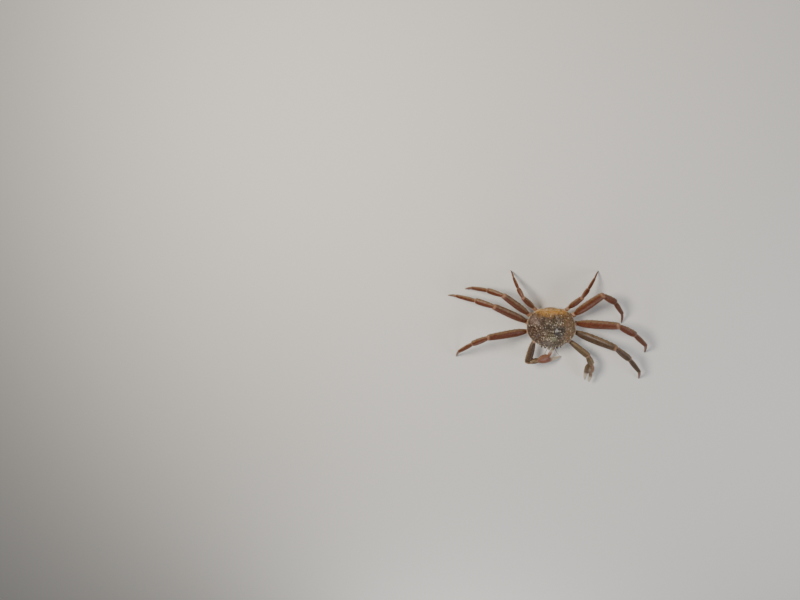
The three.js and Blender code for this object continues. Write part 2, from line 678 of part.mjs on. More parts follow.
// Grooves of the underside between the plates that carry the legs: [place along the body, rearward slant].
const UNDERSIDE_GROOVES = [[31, 0.35], [17, 0.2], [0, 0.05], [-17, -0.2]];
const GROOVE_LENGTH = 36;
for (const [y, slant] of UNDERSIDE_GROOVES) {
  for (const side of [1, -1]) {
    const start = new THREE.Vector3(side * 5, y, THORAX_BOTTOM);
    const way = new THREE.Vector3(side, slant, 0.05).normalize();
    const groove = frameOf(start, way, new THREE.Vector3(0, 0, 1));
    thorax = thorax.subtract(limb(groove, [[0, 1.6, 0.9], [GROOVE_LENGTH, 2.4, 1.1]], 6));
  }
}

// The tail's path in the middle plane, from under the carapace's rear edge round and forward:
// [y, z, half-width].
const TAIL_PATH = [
  [57.5, 45, 20], [59.8, 40, 20.5], [58.8, 34, 20], [54, 28.6, 19.5], [46, 25.4, 18.5], [34, 23.4, 17],
  [20, 22.9, 13.5], [4, 22.9, 9.5], [-10, 23.2, 7], [-20, 24, 4.6],
];
const TAIL_CURVE = new THREE.CatmullRomCurve3(
  TAIL_PATH.map(([y, z, width]) => new THREE.Vector3(width, y, z)),
);
const TAIL_SEGMENTS = 7;
const TAIL_HALF_THICKNESS = { front: 2.4, back: 1.5 };
// Each segment is thickest at its hind edge, which laps over the next one.
function tailBody(swell) {
  const stations = [];
  for (let i = 0; i < TAIL_SEGMENTS; i++) {
    for (const [share, half] of [[0.02, TAIL_HALF_THICKNESS.back], [0.9, TAIL_HALF_THICKNESS.front]]) {
      const place = (i + share) / TAIL_SEGMENTS;
      const point = TAIL_CURVE.getPoint(place);
      const tangent = TAIL_CURVE.getTangent(place);
      const along = new THREE.Vector3(0, tangent.y, tangent.z).normalize();
      const first = i === 0 && half === TAIL_HALF_THICKNESS.back;
      const last = i === TAIL_SEGMENTS - 1 && half === TAIL_HALF_THICKNESS.front;
      const end = first ? -swell : last ? swell : 0;
      stations.push({
        centre: new THREE.Vector3(0, point.y, point.z).addScaledVector(along, end),
        across: new THREE.Vector3(0, -along.z, along.y).multiplyScalar(half + swell),
        thick: new THREE.Vector3(point.x + swell, 0, 0),
      });
    }
  }
  return loft(stations, 10, 0.7);
}
addPlate("tail_flap", tailBody(0), BODY_FRAME, "underside");
thorax = thorax.subtract(tailBody(GAP));

// The outer pair of mouth plates, closing the mouth like two doors.
const MOUTH_ROWS = [
  [0, 4, 1.6], [3, 6.4, 2.6], [12, 7.2, 2.8], [15, 6.2, 2.5], [20, 6.6, 2.6], [23.5, 4, 1.8],
];
for (const side of [1, -1]) {
  const mouth = frameOf(
    new THREE.Vector3(side * 7.6, -32.5, 28.6),
    new THREE.Vector3(0, -0.85, 0.53).normalize(),
    new THREE.Vector3(side, 0, 0),
  );
  const place = (swell) => limb(mouth, MOUTH_ROWS, 8, swell);
  addPlate(side > 0 ? "mouth_plate_left" : "mouth_plate_right", place(0), mouth, "underside");
  thorax = thorax.subtract(place(GAP));
  carapace = carapace.subtract(place(GAP));
}
for (const base of bases) {
  const socket = limb(base.frame, base.rows, 8, GAP);
  thorax = thorax.subtract(socket);
  carapace = carapace.subtract(socket);
}
addPlate("thorax", thorax, BODY_FRAME, "underside");
addPlate("carapace", carapace, BODY_FRAME, "shell");

export default crab;
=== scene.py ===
"""A life-size tanner crab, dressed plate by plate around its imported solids."""

import bisect
import math

import bpy
from bpy.props import FloatProperty, FloatVectorProperty, IntProperty, PointerProperty
from mathutils import Matrix, Vector, noise


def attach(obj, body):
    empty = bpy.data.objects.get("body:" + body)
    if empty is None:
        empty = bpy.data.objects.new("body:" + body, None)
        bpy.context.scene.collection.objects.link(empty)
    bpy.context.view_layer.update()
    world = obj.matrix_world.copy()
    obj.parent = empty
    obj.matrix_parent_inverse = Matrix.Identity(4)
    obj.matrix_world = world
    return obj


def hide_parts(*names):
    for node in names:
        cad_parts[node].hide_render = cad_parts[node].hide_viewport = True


bl_info = {
    "name": "Tanner Crab",
    "version": (1, 0, 0),
    "blender": (4, 5, 0),
    "location": "View3D > Sidebar > Crab",
    "description": "Builds the shell plates, claws, eyes and underside of a life-size tanner crab",
    "category": "Add Mesh",
}

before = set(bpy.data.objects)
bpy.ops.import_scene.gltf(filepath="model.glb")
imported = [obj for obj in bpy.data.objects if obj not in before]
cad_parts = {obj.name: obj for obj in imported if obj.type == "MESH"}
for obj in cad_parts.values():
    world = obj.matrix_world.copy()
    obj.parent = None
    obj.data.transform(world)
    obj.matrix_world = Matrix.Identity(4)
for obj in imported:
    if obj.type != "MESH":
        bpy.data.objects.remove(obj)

# Units and colours

MM = 0.001


def linear(hex_colour):
    """An sRGB hex colour as linear red, green and blue."""
    channels = [int(hex_colour[i : i + 2], 16) / 255 for i in (1, 3, 5)]
    return tuple(c / 12.92 if c <= 0.04045 else ((c + 0.055) / 1.055) ** 2.4 for c in channels)


def colour(label, description, hex_colour):
    return FloatVectorProperty(
        name=label, description=description, default=linear(hex_colour), subtype="COLOR", size=3, min=0, max=1
    )


def millimetres(label, description, size):
    return FloatProperty(name=label, description=description, default=size * MM, unit="LENGTH", min=0)


class CrabSizes(bpy.types.PropertyGroup):
    """The sizes that the crab is drawn from."""

    margin_height: millimetres("Margin height", "Height of the carapace's side edge above the floor", 58)
    dome_height: millimetres("Dome height", "Rise of the back above its edge", 24)
    shell_depth: millimetres("Shell depth", "Depth of the carapace's lower wall", 11)
    granule: millimetres("Granule", "Radius of a small granule of the back", 0.62)
    bead: millimetres("Bead", "Radius of a middling granule of the back", 1.05)
    tubercle: millimetres("Tubercle", "Radius of a large tubercle of the back", 1.8)
    seed: IntProperty(name="Seed", description="Draws the places of the granules", default=7, min=0)


class CrabColours(bpy.types.PropertyGroup):
    """The colours of the shell, wet as it comes out of the sea."""

    back: colour("Back", "Middle brown of the back", "#4b3b2a")
    # Dark mottling, also laid on as painted shade in the hollow in front of the heart swelling.
    back_dark_and_shade: colour("Back, dark", "Dark mottling of the back", "#120b06")
    back_pale: colour("Back, pale", "Tips of the granules", "#ad987c")
    # Cream tips of the tubercles: partly their own paler shell, partly painted highlight of the wet beads.
    tubercle: colour("Tubercles", "Cream tips of the tubercles", "#d3c5ae")
    back_left: colour("Back, tan side", "Tan of the crab's left side", "#7a5a38")
    back_right: colour("Back, ruddy side", "Pinkish brown of the crab's right side", "#44291a")
    back_front: colour("Back, front", "Darker brown behind the eyes", "#2c1f16")
    rear_band: colour("Rear band", "Brownish gold along the rear of the back", "#7d551f")
    rear_gold: colour("Rear gold", "Clearer gold towards the rear edge", "#bd8a39")
    slate: colour("Slate patch", "Dark wet patch left of the middle", "#252120")
    # Painted highlight: the pale wet glint in the slate patch.
    slate_glint_painted: colour("Slate patch, pale", "Pale spot in the slate patch", "#a9a8a6")
    # Painted highlight: a pale wet glint streaked over the grey-green patch.
    green_glint_painted: colour("Glinting streak", "Pale green streak within the grey-green patch", "#8f9074")
    mauve: colour("Mauve patch", "Pinkish grey at the right rear corner", "#7d6860")
    green: colour("Green patch", "Grey-green patch in front", "#45432a")
    rim: colour("Rim", "Cream line round the edge", "#cdb792")
    leg: colour("Leg", "Red-brown of the legs", "#5f2909")
    leg_dark: colour("Leg, dark", "Dark mottling of the legs", "#1c0c05")
    leg_pale: colour("Leg, pale", "Cream of a leg's edges", "#90795a")
    leg_olive: colour("Leg, olive", "Grey-olive of the first left leg", "#452f1c")
    joint: colour("Joint", "Pinkish cream of the joints", "#957158")
    claw_left: colour("Left claw", "Olive brown of the left claw", "#54432b")
    claw_right: colour("Right claw", "Salmon of the right claw", "#80513f")
    finger: colour("Finger", "Pale finger tips", "#b3a690")
    underside: colour("Underside", "Cream of the underside", "#d9c3a0")
    crease: colour("Crease", "Brown seams between the belly's plates", "#7d5d40")
    eye: colour("Eye", "Dark red-brown of the eyes", "#24100c")
    floor: colour("Floor", "Pale floor", "#dedbd5")


# The body's plan, in millimetres

# The middle of the carapace, at floor level. The body's other places are measured from it.
BODY = Vector((20, 10.7, 0))
# One side of the carapace's outline, from the rear middle round to the front middle.
OUTLINE = [
    (0, 61), (20, 61.5), (34, 59.5), (47, 52.5), (58.5, 41), (66.3, 25), (69, 8), (68, -7),
    (62.5, -22), (53, -34), (41.5, -43), (30, -50), (19.5, -53), (9, -56), (0, -56),
]
OUTLINE_STEPS = 16
# The carapace's edge drops towards the rear and rises towards the face: by how much, and over what length.
REAR_DROP = 9
REAR_LENGTH = 62
FACE_RISE = 4
FACE_LENGTH = 56
# Powers that shape the back from its middle to its edge: how flat the dome's top is, how steep its side, and
# how near the edge the swellings and grooves fade out.
DOME_FLATNESS = 2.3
DOME_STEEPNESS = 0.72
EDGE_FADE = 6
# Swellings of the back: x, y, height, reach across, reach along.
SWELLINGS = [(0, -15, 4.5, 15, 17), (0, 24, 5, 11, 11), (37, 17, 5.5, 17, 24), (33, -33, 2.5, 9, 8)]
# The groove on each side of the back, from the rear forward.
GROOVE = [(12, 46), (17, 32), (14, 14), (19, 2), (29, -13), (45, -27)]
GROOVE_DEPTH = 3.2
GROOVE_REACH = 4.5
# Unevenness of the back: breadth of its bumps, their height, and the layer of the noise that they come from.
UNEVENNESS = [(9, 0.9, 3), (4, 0.45, 8)]


def spline_value(share, p, q, r, s):
    """A value part of the way from q to r, on a smooth curve that comes from p and goes on to s."""
    slope = r - p
    bend = 2 * p - 5 * q + 4 * r - s
    twist = 3 * q - p - 3 * r + s
    return 0.5 * (2 * q + slope * share + bend * share * share + twist * share**3)


def spline(points, steps):
    """Points along a smooth curve through the given ones."""
    ends = [points[0]] + points + [points[-1]]
    curve = []
    for four in zip(ends, ends[1:], ends[2:], ends[3:]):
        for i in range(steps):
            curve.append(tuple(spline_value(i / steps, *values) for values in zip(*four)))
    return curve + [points[-1]]


def spread(start, reach, count):
    """Values spread evenly from start on, the last one by reach past it."""
    return [start + reach * i / (count - 1) for i in range(count)]


OUTLINE_CURVE = spline(OUTLINE, OUTLINE_STEPS)
OUTLINE_TURNS = [(math.atan2(x, y), math.hypot(x, y)) for x, y in OUTLINE_CURVE]


def outline_radius(angle):
    """Distance to the carapace's edge in a direction, 0 being the rear and pi the face."""
    turn = abs(math.atan2(math.sin(angle), math.cos(angle)))
    i = min(max(bisect.bisect(OUTLINE_TURNS, (turn,)), 1), len(OUTLINE_TURNS) - 1)
    (t0, r0), (t1, r1) = OUTLINE_TURNS[i - 1], OUTLINE_TURNS[i]
    share = (turn - t0) / (t1 - t0) if t1 > t0 else 0
    return r0 + (r1 - r0) * min(max(share, 0), 1)


def margin_height(y):
    """Height of the carapace's edge above the floor."""
    middle = bpy.context.scene.crab_sizes.margin_height / MM
    return middle - REAR_DROP * (max(y, 0) / REAR_LENGTH) ** 2 + FACE_RISE * (max(-y, 0) / FACE_LENGTH) ** 2


def distance_to_path(x, y, path):
    """Least distance from a place on the plan to a path of straight stretches."""
    least = math.inf
    for (ax, ay), (bx, by) in zip(path, path[1:]):
        dx, dy = bx - ax, by - ay
        share = min(max(((x - ax) * dx + (y - ay) * dy) / (dx * dx + dy * dy), 0), 1)
        least = min(least, math.hypot(x - ax - share * dx, y - ay - share * dy))
    return least


def back_height(x, y):
    """Height of the back over a place on the plan."""
    share = min(math.hypot(x, y) / outline_radius(math.atan2(x, y)), 1)
    dome = bpy.context.scene.crab_sizes.dome_height / MM
    height = margin_height(y) + dome * (1 - share**DOME_FLATNESS) ** DOME_STEEPNESS
    fade = 1 - share**EDGE_FADE
    for sx, sy, amount, across, along in SWELLINGS:
        height += amount * fade * math.exp(-(((abs(x) - sx) / across) ** 2) - ((y - sy) / along) ** 2)
    off = distance_to_path(abs(x), y, GROOVE) / GROOVE_REACH
    height -= GROOVE_DEPTH * fade * math.exp(-(off**2))
    uneven = sum(noise.noise(Vector((x, y, layer)) / breadth) * rise for breadth, rise, layer in UNEVENNESS)
    return height + uneven * fade


# How the limbs stand, in millimetres and degrees

# Height of their roots above the floor, and how far their bases rise outward.
ROOT_HEIGHT = 38
BASE_PITCH = 8
# How far a toe dips below the floor before it is ground flat.
TIP_SINK = 0.8
# The most that a knee bends, and how often that range is halved until the toe meets the floor.
KNEE_LIMIT = 120
HALVINGS = 50

# Rings of the limbs' plates, from the root on: share of the plate's length, millimetres past that place,
# half-breadth, half-thickness and, where it has one, shift across.
MERUS = [
    (0, -4, 3.8, 3.6), (0, 1, 6.2, 5.6), (0, 7, 8.4, 6.6), (0.2, 0, 12.2, 8.4), (0.42, 0, 13.5, 9.2),
    (0.72, 0, 12.3, 8.7), (1, -4, 10.8, 8.3), (1, 2.5, 9.6, 7.4), (1, 5, 6.4, 4.8),
]
CARPUS = [
    (0, -4, 3.4, 3.2), (0, 1, 5.8, 5.2), (0, 6, 7.4, 6), (0.4, 0, 9.9, 7.3), (0.7, 0, 10.5, 7.6),
    (1, -2, 9.8, 7.3), (1, 2, 8.4, 6.4), (1, 4, 5.6, 4.3),
]
PROPODUS = [
    (0, -3.5, 3, 2.8), (0, 1, 4.9, 4.5), (0, 6, 6.2, 5.2), (0.32, 0, 7.9, 5.9), (0.65, 0, 7.1, 5.4),
    (1, -2, 6, 4.8), (1, 2, 4.9, 4), (1, 3.5, 3.2, 2.6),
]
DACTYL = [
    (0, -3, 2, 1.9), (0, 1, 3.2, 3), (0, 6, 4.3, 3.5), (0.3, 0, 4.6, 3.6, -1.2), (0.6, 0, 3.7, 3, -1),
    (0.85, 0, 2.4, 2.2, -0.3), (1, 0, 1.3, 1.3, 0.3),
]
BASE = [
    (0, -7, 6.6, 6.4), (0, 0, 8.8, 8.6), (0, 6, 9, 8.6), (0, 9.5, 7.6, 7.2), (0, 13, 8.4, 7.4),
    (1, -3, 8.6, 7.4), (1, 1.5, 7.6, 6.6), (1, 3.5, 5.2, 4.8),
]
CLAW_MERUS = [
    (0, -4, 3.8, 3.6), (0, 1, 6, 5.6), (0, 7, 8, 7), (0.4, 0, 10.6, 9), (1, -4, 11, 9.2),
    (1, 2.5, 9, 7.6), (1, 5, 6, 5),
]
CLAW_CARPUS = [
    (0, -4, 3.4, 3.2), (0, 1, 5.8, 5.4), (0, 5, 7.4, 6.8), (0.55, 0, 10.6, 9), (1, -3, 9.8, 8.6),
    (1, 2, 8, 7.2), (1, 4, 5.2, 4.6),
]
PALM = [
    (0, -4, 3.4, 3.2), (0, 1, 5.6, 5.2), (0, 5, 8.4, 6.8), (0.35, 0, 13, 9), (0.7, 0, 14.4, 9.4),
    (0.93, 0, 13.6, 8.6), (1, 3, 7.4, 6.8, 6), (1, 15, 5.6, 5.2, 6.6), (1, 29, 4, 3.8, 5.4),
    (1, 39, 2.4, 2.6, 3.4), (1, 44, 0.9, 1, 1.8),
]
FINGER = [
    (0, -3, 2.6, 2.6), (0, 1.5, 4.6, 4.4), (0, 7, 5.6, 5.2, -0.8), (0.4, 0, 5, 4.6, -0.8),
    (0.72, 0, 3.4, 3.4, 0.6), (0.92, 0, 2, 2.1, 2.6), (1, 0, 0.8, 0.9, 3.8),
]
LEG_SHAPES = {"base": BASE, "merus": MERUS, "carpus": CARPUS, "propodus": PROPODUS, "dactyl": DACTYL}
CLAW_SHAPES = {"base": BASE, "merus": CLAW_MERUS, "carpus": CLAW_CARPUS, "palm": PALM, "finger": FINGER}

# Each leg: root, reach of its base, girth, lengths of its four plates, how far its broad faces turn up from
# the plane that it bends in, and for each side the base's and the merus's azimuths, the merus's rise, the
# roll of the bending plane, and the bends at ankle and toe.
WALKING_LEGS = [
    ((46, -12), 24, 1, (120, 56, 74, 60), 40, (-8, -15, 23, 42, 20, 24), (-2, -1, 24, 38, 20, 26)),
    ((49, 10), 24, 1.02, (124, 57, 74, 60), 36, (6, 8, 28, 48, 22, 26), (20, 38, 28, 32, 22, 24)),
    ((46, 31), 24, 0.94, (114, 50, 66, 52), 26, (26, 46, 26, 63, 21, 19), (30, 50, 30, 40, 24, 22)),
    ((37, 48.5), 19, 0.7, (62, 30, 42, 36), 75, (42, 50, 32, 0, 18, 12), (46, 58, 36, 0, 18, 12)),
]
CLAW_ROOT = (36, -31)
CLAW_LENGTHS = {"base": 22, "merus": 66, "carpus": 28, "palm": 40, "finger": 44}
# How far the movable finger's hinge lies from the palm's middle line.
FINGER_HINGE = 6.6
# Each claw: side, base's azimuth, the azimuths and pitches of merus, carpus and palm, the way that the
# palm's lower edge faces, and how far the finger is open.
CLAWS = [
    (1, -36, (-38, 14), (-70, -8), (-100, -26), (-1, 0.1, -0.45), 10),
    (-1, -48, (-74, 10), (170, -6), (-178, -33), (0.1, -0.93, -0.1), 58),
]
SIDE_NAMES = ((1, "left"), (-1, "right"))
LIMB_SIDES = 12
# How thickly granules cover a limb's plate: at least, on its middle line, and what that gains and loses from
# there to the outer and the inner edge; and the share of it that has none, at its root.
LIMB_COVER_LEAST = 0.15
LIMB_COVER = 0.45
LIMB_COVER_SLOPE = 0.6
BARE_ROOT = 0.05
# A cut moves the vertices that are nearer to its plane than this onto it.
CUT_THRESHOLD = 1e-6


def on_side(side, place_or_way):
    """What is given for the crab's left, on the left where side is 1 and on the right where it is -1."""
    x, y, z = place_or_way
    return Vector((side * x, y, z))


def direction(side, azimuth, pitch):
    """The way out to one side, turned rearward and up by so many degrees."""
    a, p = math.radians(azimuth), math.radians(pitch)
    return Vector((side * math.cos(p) * math.cos(a), math.cos(p) * math.sin(a), math.sin(p)))


def frame_of(origin, along, towards):
    """A plate's own axes: X across, the way that it bends, Z along it."""
    thick = along.cross(towards).normalized()
    across = thick.cross(along).normalized()
    turn = Matrix((across, along.cross(across), along)).transposed().to_4x4()
    return Matrix.Translation(origin) @ turn


def leg_frames(start, merus, bend, twist, lengths, knee, ankle, toe):
    """The frames of a leg's four plates, from where its base ends, and the place of its tip."""
    frames = []
    joint = start.copy()
    turned = 0
    for angle, length in zip((0, knee, ankle, toe), lengths):
        turned += math.radians(angle)
        along = merus * math.cos(turned) + bend * math.sin(turned)
        towards = bend * math.cos(turned) - merus * math.sin(turned)
        along.normalize()
        frames.append(frame_of(joint, along, Matrix.Rotation(twist, 3, along) @ towards))
        joint = joint + along * length
    return frames, joint


def bend_way(merus, roll):
    """Square to the merus and downwards, rolled forward about it."""
    down = Vector((0, 0, -1))
    down = (down - merus * down.dot(merus)).normalized()
    forward = merus.cross(down)
    if forward.y > 0:
        forward.negate()
    return down * math.cos(math.radians(roll)) + forward * math.sin(math.radians(roll))


def standing_leg(leg, side):
    """The frames of a walking leg's base and four plates, its knee bent until the toe is on the floor."""
    (x, y), reach, _, lengths, face, left, right = leg
    out, azimuth, rise, roll, ankle, toe = left if side > 0 else right
    root = on_side(side, (x, y, ROOT_HEIGHT))
    way = direction(side, out, BASE_PITCH)
    start = root + way * reach
    merus = direction(side, azimuth, rise)
    bend = bend_way(merus, roll)
    facing = bend_way(merus, roll + face)
    twist = math.atan2(merus.dot(bend.cross(facing)), bend.dot(facing))
    low, high = 0, KNEE_LIMIT
    for _ in range(HALVINGS):
        knee = (low + high) / 2
        tip = leg_frames(start, merus, bend, twist, lengths, knee, ankle, toe)[1]
        low, high = (knee, high) if tip.z > -TIP_SINK else (low, knee)
    frames = leg_frames(start, merus, bend, twist, lengths, low, ankle, toe)[0]
    return [frame_of(root, way, Vector((0, -1, 0)))] + frames


def reaching_claw(claw):
    """The frames of a claw's base, merus, carpus, palm and movable finger."""
    side, out, merus, carpus, palm, flat, opening = claw
    ways = [direction(side, out, BASE_PITCH)] + [direction(side, *way) for way in (merus, carpus, palm)]
    joints = [on_side(side, (*CLAW_ROOT, ROOT_HEIGHT))]
    for way, part in zip(ways, ("base", "merus", "carpus")):
        joints.append(joints[-1] + way * CLAW_LENGTHS[part])
    towards = [Vector((0, -1, 0)), ways[2], ways[3], Vector(flat)]
    frames = [frame_of(joint, way, to) for joint, way, to in zip(joints, ways, towards)]
    palm_frame = frames[3]
    across, along = palm_frame.col[0].xyz, palm_frame.col[2].xyz
    hinge = palm_frame @ Vector((-FINGER_HINGE, 0, CLAW_LENGTHS["palm"]))
    opened = math.radians(opening)
    frames.append(frame_of(hinge, along * math.cos(opened) - across * math.sin(opened), across))
    return frames


# Modelling

# Where faces are sorted from, in metres: off every axis of symmetry, so that no two are equally far from it.
SORTING_POINT = (3.1, 4.7, -7.3)


def sort_faces():
    """Sorts the faces of the mesh in hand by how far they are from one place.

    Extruding and cutting leave them in another order each time, and granules are scattered face by face."""
    bpy.context.scene.cursor.location = SORTING_POINT
    bpy.ops.mesh.select_all(action="SELECT")
    bpy.ops.mesh.sort_elements(type="CURSOR_DISTANCE", elements={"EDGE", "FACE"})
    bpy.context.scene.cursor.location = (0, 0, 0)


def choose(piece):
    bpy.ops.object.select_all(action="DESELECT")
    piece.select_set(True)
    bpy.context.view_layer.objects.active = piece


def join(piece, others):
    choose(piece)
    for other in others:
        other.select_set(True)
    bpy.ops.object.join()


def finish_modifiers(piece):
    choose(piece)
    for modifier in list(piece.modifiers):
        bpy.ops.object.modifier_apply(modifier=modifier.name)


def draw_rings(name, rows, sides):
    """Draws a closed form along +Z: a filled circle, extruded and resized row by row.

    rows: height, half-breadth along X, half-thickness along Y and shift along X, in millimetres. The rings
    are drawn larger by as much as smoothing a ring of that many sides will shrink it."""
    swell = 3 / (2 + math.cos(2 * math.pi / sides))
    bpy.ops.object.select_all(action="DESELECT")
    bpy.ops.mesh.primitive_circle_add(vertices=sides, radius=1, fill_type="NGON")
    piece = bpy.context.object
    piece.name = piece.data.name = name
    bpy.ops.object.mode_set(mode="EDIT")
    bpy.ops.mesh.select_all(action="SELECT")
    height, breadth, thickness, shift = 0, 1, 1, 0
    for i, row in enumerate(rows):
        new_height, new_breadth, new_thickness = row[0] * MM, row[1] * swell * MM, row[2] * swell * MM
        new_shift = row[3] * MM if len(row) > 3 else 0
        step = (new_shift - shift, 0, new_height - height)
        if i:
            bpy.ops.mesh.extrude_region_move(TRANSFORM_OT_translate={"value": step})
        else:
            bpy.ops.transform.translate(value=step)
        bpy.ops.transform.resize(
            value=(new_breadth / breadth, new_thickness / thickness, 1),
            center_override=(new_shift, 0, new_height),
        )
        height, breadth, thickness, shift = new_height, new_breadth, new_thickness, new_shift
    bpy.ops.mesh.select_all(action="SELECT")
    bpy.ops.mesh.normals_make_consistent(inside=False)
    sort_faces()
    bpy.ops.object.mode_set(mode="OBJECT")
    return piece


def smooth(piece, levels):
    modifier = piece.modifiers.new("rounding", "SUBSURF")
    modifier.levels = modifier.render_levels = levels
    finish_modifiers(piece)
    bpy.ops.object.shade_smooth()
    return piece


def store(piece, name, values):
    """Stores a number at every vertex, which the granules' cover and the colours are read from."""
    piece.data.attributes.new(name, "FLOAT", "POINT").data.foreach_set("value", values)


def mark(piece, name, value):
    """Stores a number at every vertex, worked out from its place."""
    store(piece, name, [value(vertex.co) for vertex in piece.data.vertices])


def rows_for(shape, length, girth):
    """The rings of a plate of that length, its breadth and thickness multiplied by its girth."""
    rows = []
    for row in shape:
        share, extra, breadth, thickness = row[:4]
        shift = row[4] if len(row) > 4 else 0
        squeeze = min(girth, 1) if share > 0 or extra > 0 else 1
        rows.append((share * length + extra * squeeze, breadth * girth, thickness * girth, shift * girth))
    return rows


def place(piece, pose):
    """Puts a piece drawn at the origin where it belongs, in its mesh. pose is in millimetres from BODY."""
    pose = Matrix.Translation(BODY) @ pose
    pose.translation *= MM
    choose(piece)
    piece.matrix_world = pose
    bpy.ops.object.transform_apply(location=True, rotation=True, scale=True)


def own(piece, material, node):
    """Dresses a finished piece and ties it to the solid that it stands for."""
    # Granules bring an empty slot with them.
    piece.data.materials.clear()
    piece.data.materials.append(material)
    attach(piece, "root")
    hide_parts(node)


# Granules and spines

# The smallest and the largest bead, as shares of the usual radius.
BEAD_SIZES = (0.5, 1.3)
# Points tried in a square as wide as the spacing, before those too near another are dropped.
POINTS_TRIED = 1.2
# A spine's rings: height and radius, as shares of its own.
SPINE = [(0, 1), (0.4, 0.8), (0.72, 0.5), (0.92, 0.25), (1, 0.08)]
SPINE_SIDES = 8
# How deep its foot is sunk, as a share of its radius.
SPINE_SINK = 1.1
# The edge of the plate whose colour it takes.
SPINE_EDGE = -0.7
# How far it leans towards the end of a limb's plate.
SPINE_LEAN = 0.9
# Further out than any plate reaches.
OUTSIDE = 60 * MM


def add_node(tree, kind, inputs=None, output=0, **settings):
    """Adds a node, with its settings and with each input given as a value or another node's output.

    Returns one of its outputs, or the node when it has none."""
    node = tree.nodes.new(kind)
    for name, value in settings.items():
        setattr(node, name, value)
    for key, value in (inputs or {}).items():
        socket = node.inputs[key]
        if isinstance(value, bpy.types.NodeSocket):
            tree.links.new(value, socket)
        else:
            socket.default_value = (*value, 1) if socket.type == "RGBA" else value
    return node.outputs[output] if node.outputs else node


def granule_group():
    """Geometry nodes that raise small rounded beads on a shell, as thickly as an attribute of it says."""
    if "shell granules" in bpy.data.node_groups:
        return bpy.data.node_groups["shell granules"]
    tree = bpy.data.node_groups.new("shell granules", "GeometryNodeTree")
    inputs = {
        "Geometry": "Geometry", "Spacing": "Float", "Density": "Float", "Radius": "Float",
        "Paleness": "Float", "Seed": "Int", "Sides": "Int", "Rings": "Int", "Cover": "String",
    }
    for name, kind in inputs.items():
        tree.interface.new_socket(name, in_out="INPUT", socket_type="NodeSocket" + kind)
    tree.interface.new_socket("Geometry", in_out="OUTPUT", socket_type="NodeSocketGeometry")
    given = add_node(tree, "NodeGroupInput").node.outputs
    cover = add_node(tree, "GeometryNodeInputNamedAttribute", {"Name": given["Cover"]}, data_type="FLOAT")
    points = add_node(
        tree,
        "GeometryNodeDistributePointsOnFaces",
        {
            "Mesh": given["Geometry"],
            "Distance Min": given["Spacing"],
            "Density Max": given["Density"],
            "Density Factor": cover,
            "Seed": given["Seed"],
        },
        distribute_method="POISSON",
    ).node.outputs
    bead = add_node(
        tree, "GeometryNodeMeshUVSphere", {"Radius": 1.0, "Segments": given["Sides"], "Rings": given["Rings"]}
    )
    # Each bead's tip value grows up the bead and with its paleness; the materials paint it paler, partly the
    # bead's own paler tip and partly painted highlight.
    height = add_node(tree, "ShaderNodeSeparateXYZ", {0: add_node(tree, "GeometryNodeInputPosition")}, "Z")
    tip = add_node(tree, "ShaderNodeMath", {0: height, 1: given["Paleness"]}, operation="MULTIPLY")
    tipped = add_node(
        tree,
        "GeometryNodeStoreNamedAttribute",
        {"Geometry": bead, "Name": "tip", "Value": tip},
        data_type="FLOAT",
        domain="POINT",
    )
    smallest, largest = BEAD_SIZES
    limits = {2: smallest, 3: largest, "Seed": given["Seed"]}
    size = add_node(tree, "FunctionNodeRandomValue", limits, 1, data_type="FLOAT")
    scale = add_node(tree, "ShaderNodeMath", {0: size, 1: given["Radius"]}, operation="MULTIPLY")
    beads = add_node(
        tree,
        "GeometryNodeInstanceOnPoints",
        {"Points": points["Points"], "Instance": tipped, "Rotation": points["Rotation"], "Scale": scale},
    )
    real = add_node(tree, "GeometryNodeRealizeInstances", {"Geometry": beads})
    # The shell and its beads go into the same input.
    joined = add_node(tree, "GeometryNodeJoinGeometry", {"Geometry": given["Geometry"]})
    tree.links.new(real, joined.node.inputs["Geometry"])
    soft = add_node(tree, "GeometryNodeSetShadeSmooth", {"Geometry": joined})
    add_node(tree, "NodeGroupOutput", {"Geometry": soft})
    return tree


def add_granules(piece, spacing, radius, seed, paleness=0.6, sides=5, rings=3, cover="cover"):
    """Covers a piece with beads of about that radius and at least that far apart, in metres.

    paleness is how pale their tips are painted, partly their own paler shell and partly painted highlight,
    sides and rings how finely each is drawn, and cover the name of the attribute that says how thickly they
    stand."""
    group = granule_group()
    modifier = piece.modifiers.new("granules", "NODES")
    modifier.node_group = group
    values = {
        "Spacing": spacing,
        "Density": POINTS_TRIED / spacing**2,
        "Radius": radius,
        "Seed": seed,
        "Paleness": paleness,
        "Sides": sides,
        "Rings": rings,
        "Cover": cover,
    }
    for item in group.interface.items_tree:
        if item.in_out == "INPUT" and item.name in values:
            modifier[item.identifier] = values[item.name]
    finish_modifiers(piece)


def plant_spines(piece, places, along=0.4):
    """Joins pointed spines to a piece. places: foot, way outward, radius and height, in metres.

    along is the place on the limb whose colour they take."""
    pattern = draw_rings("spine", [(z / MM, r / MM, r / MM) for z, r in SPINE], SPINE_SIDES)
    bpy.ops.object.shade_smooth()
    mark(pattern, "tip", lambda co: co.z)
    mark(pattern, "edge", lambda co: SPINE_EDGE)
    mark(pattern, "along", lambda co: along)
    spines = []
    for foot, outward, radius, height in places:
        spine = pattern.copy()
        spine.data = pattern.data.copy()
        bpy.context.scene.collection.objects.link(spine)
        sunk = radius * SPINE_SINK
        turn = outward.normalized().to_track_quat("Z", "Y").to_matrix().to_4x4()
        stretch = Matrix.Diagonal((radius, radius, height + sunk, 1))
        spine.matrix_world = Matrix.Translation(foot - outward.normalized() * sunk) @ turn @ stretch
        spines.append(spine)
    bpy.data.objects.remove(pattern)
    join(piece, spines)


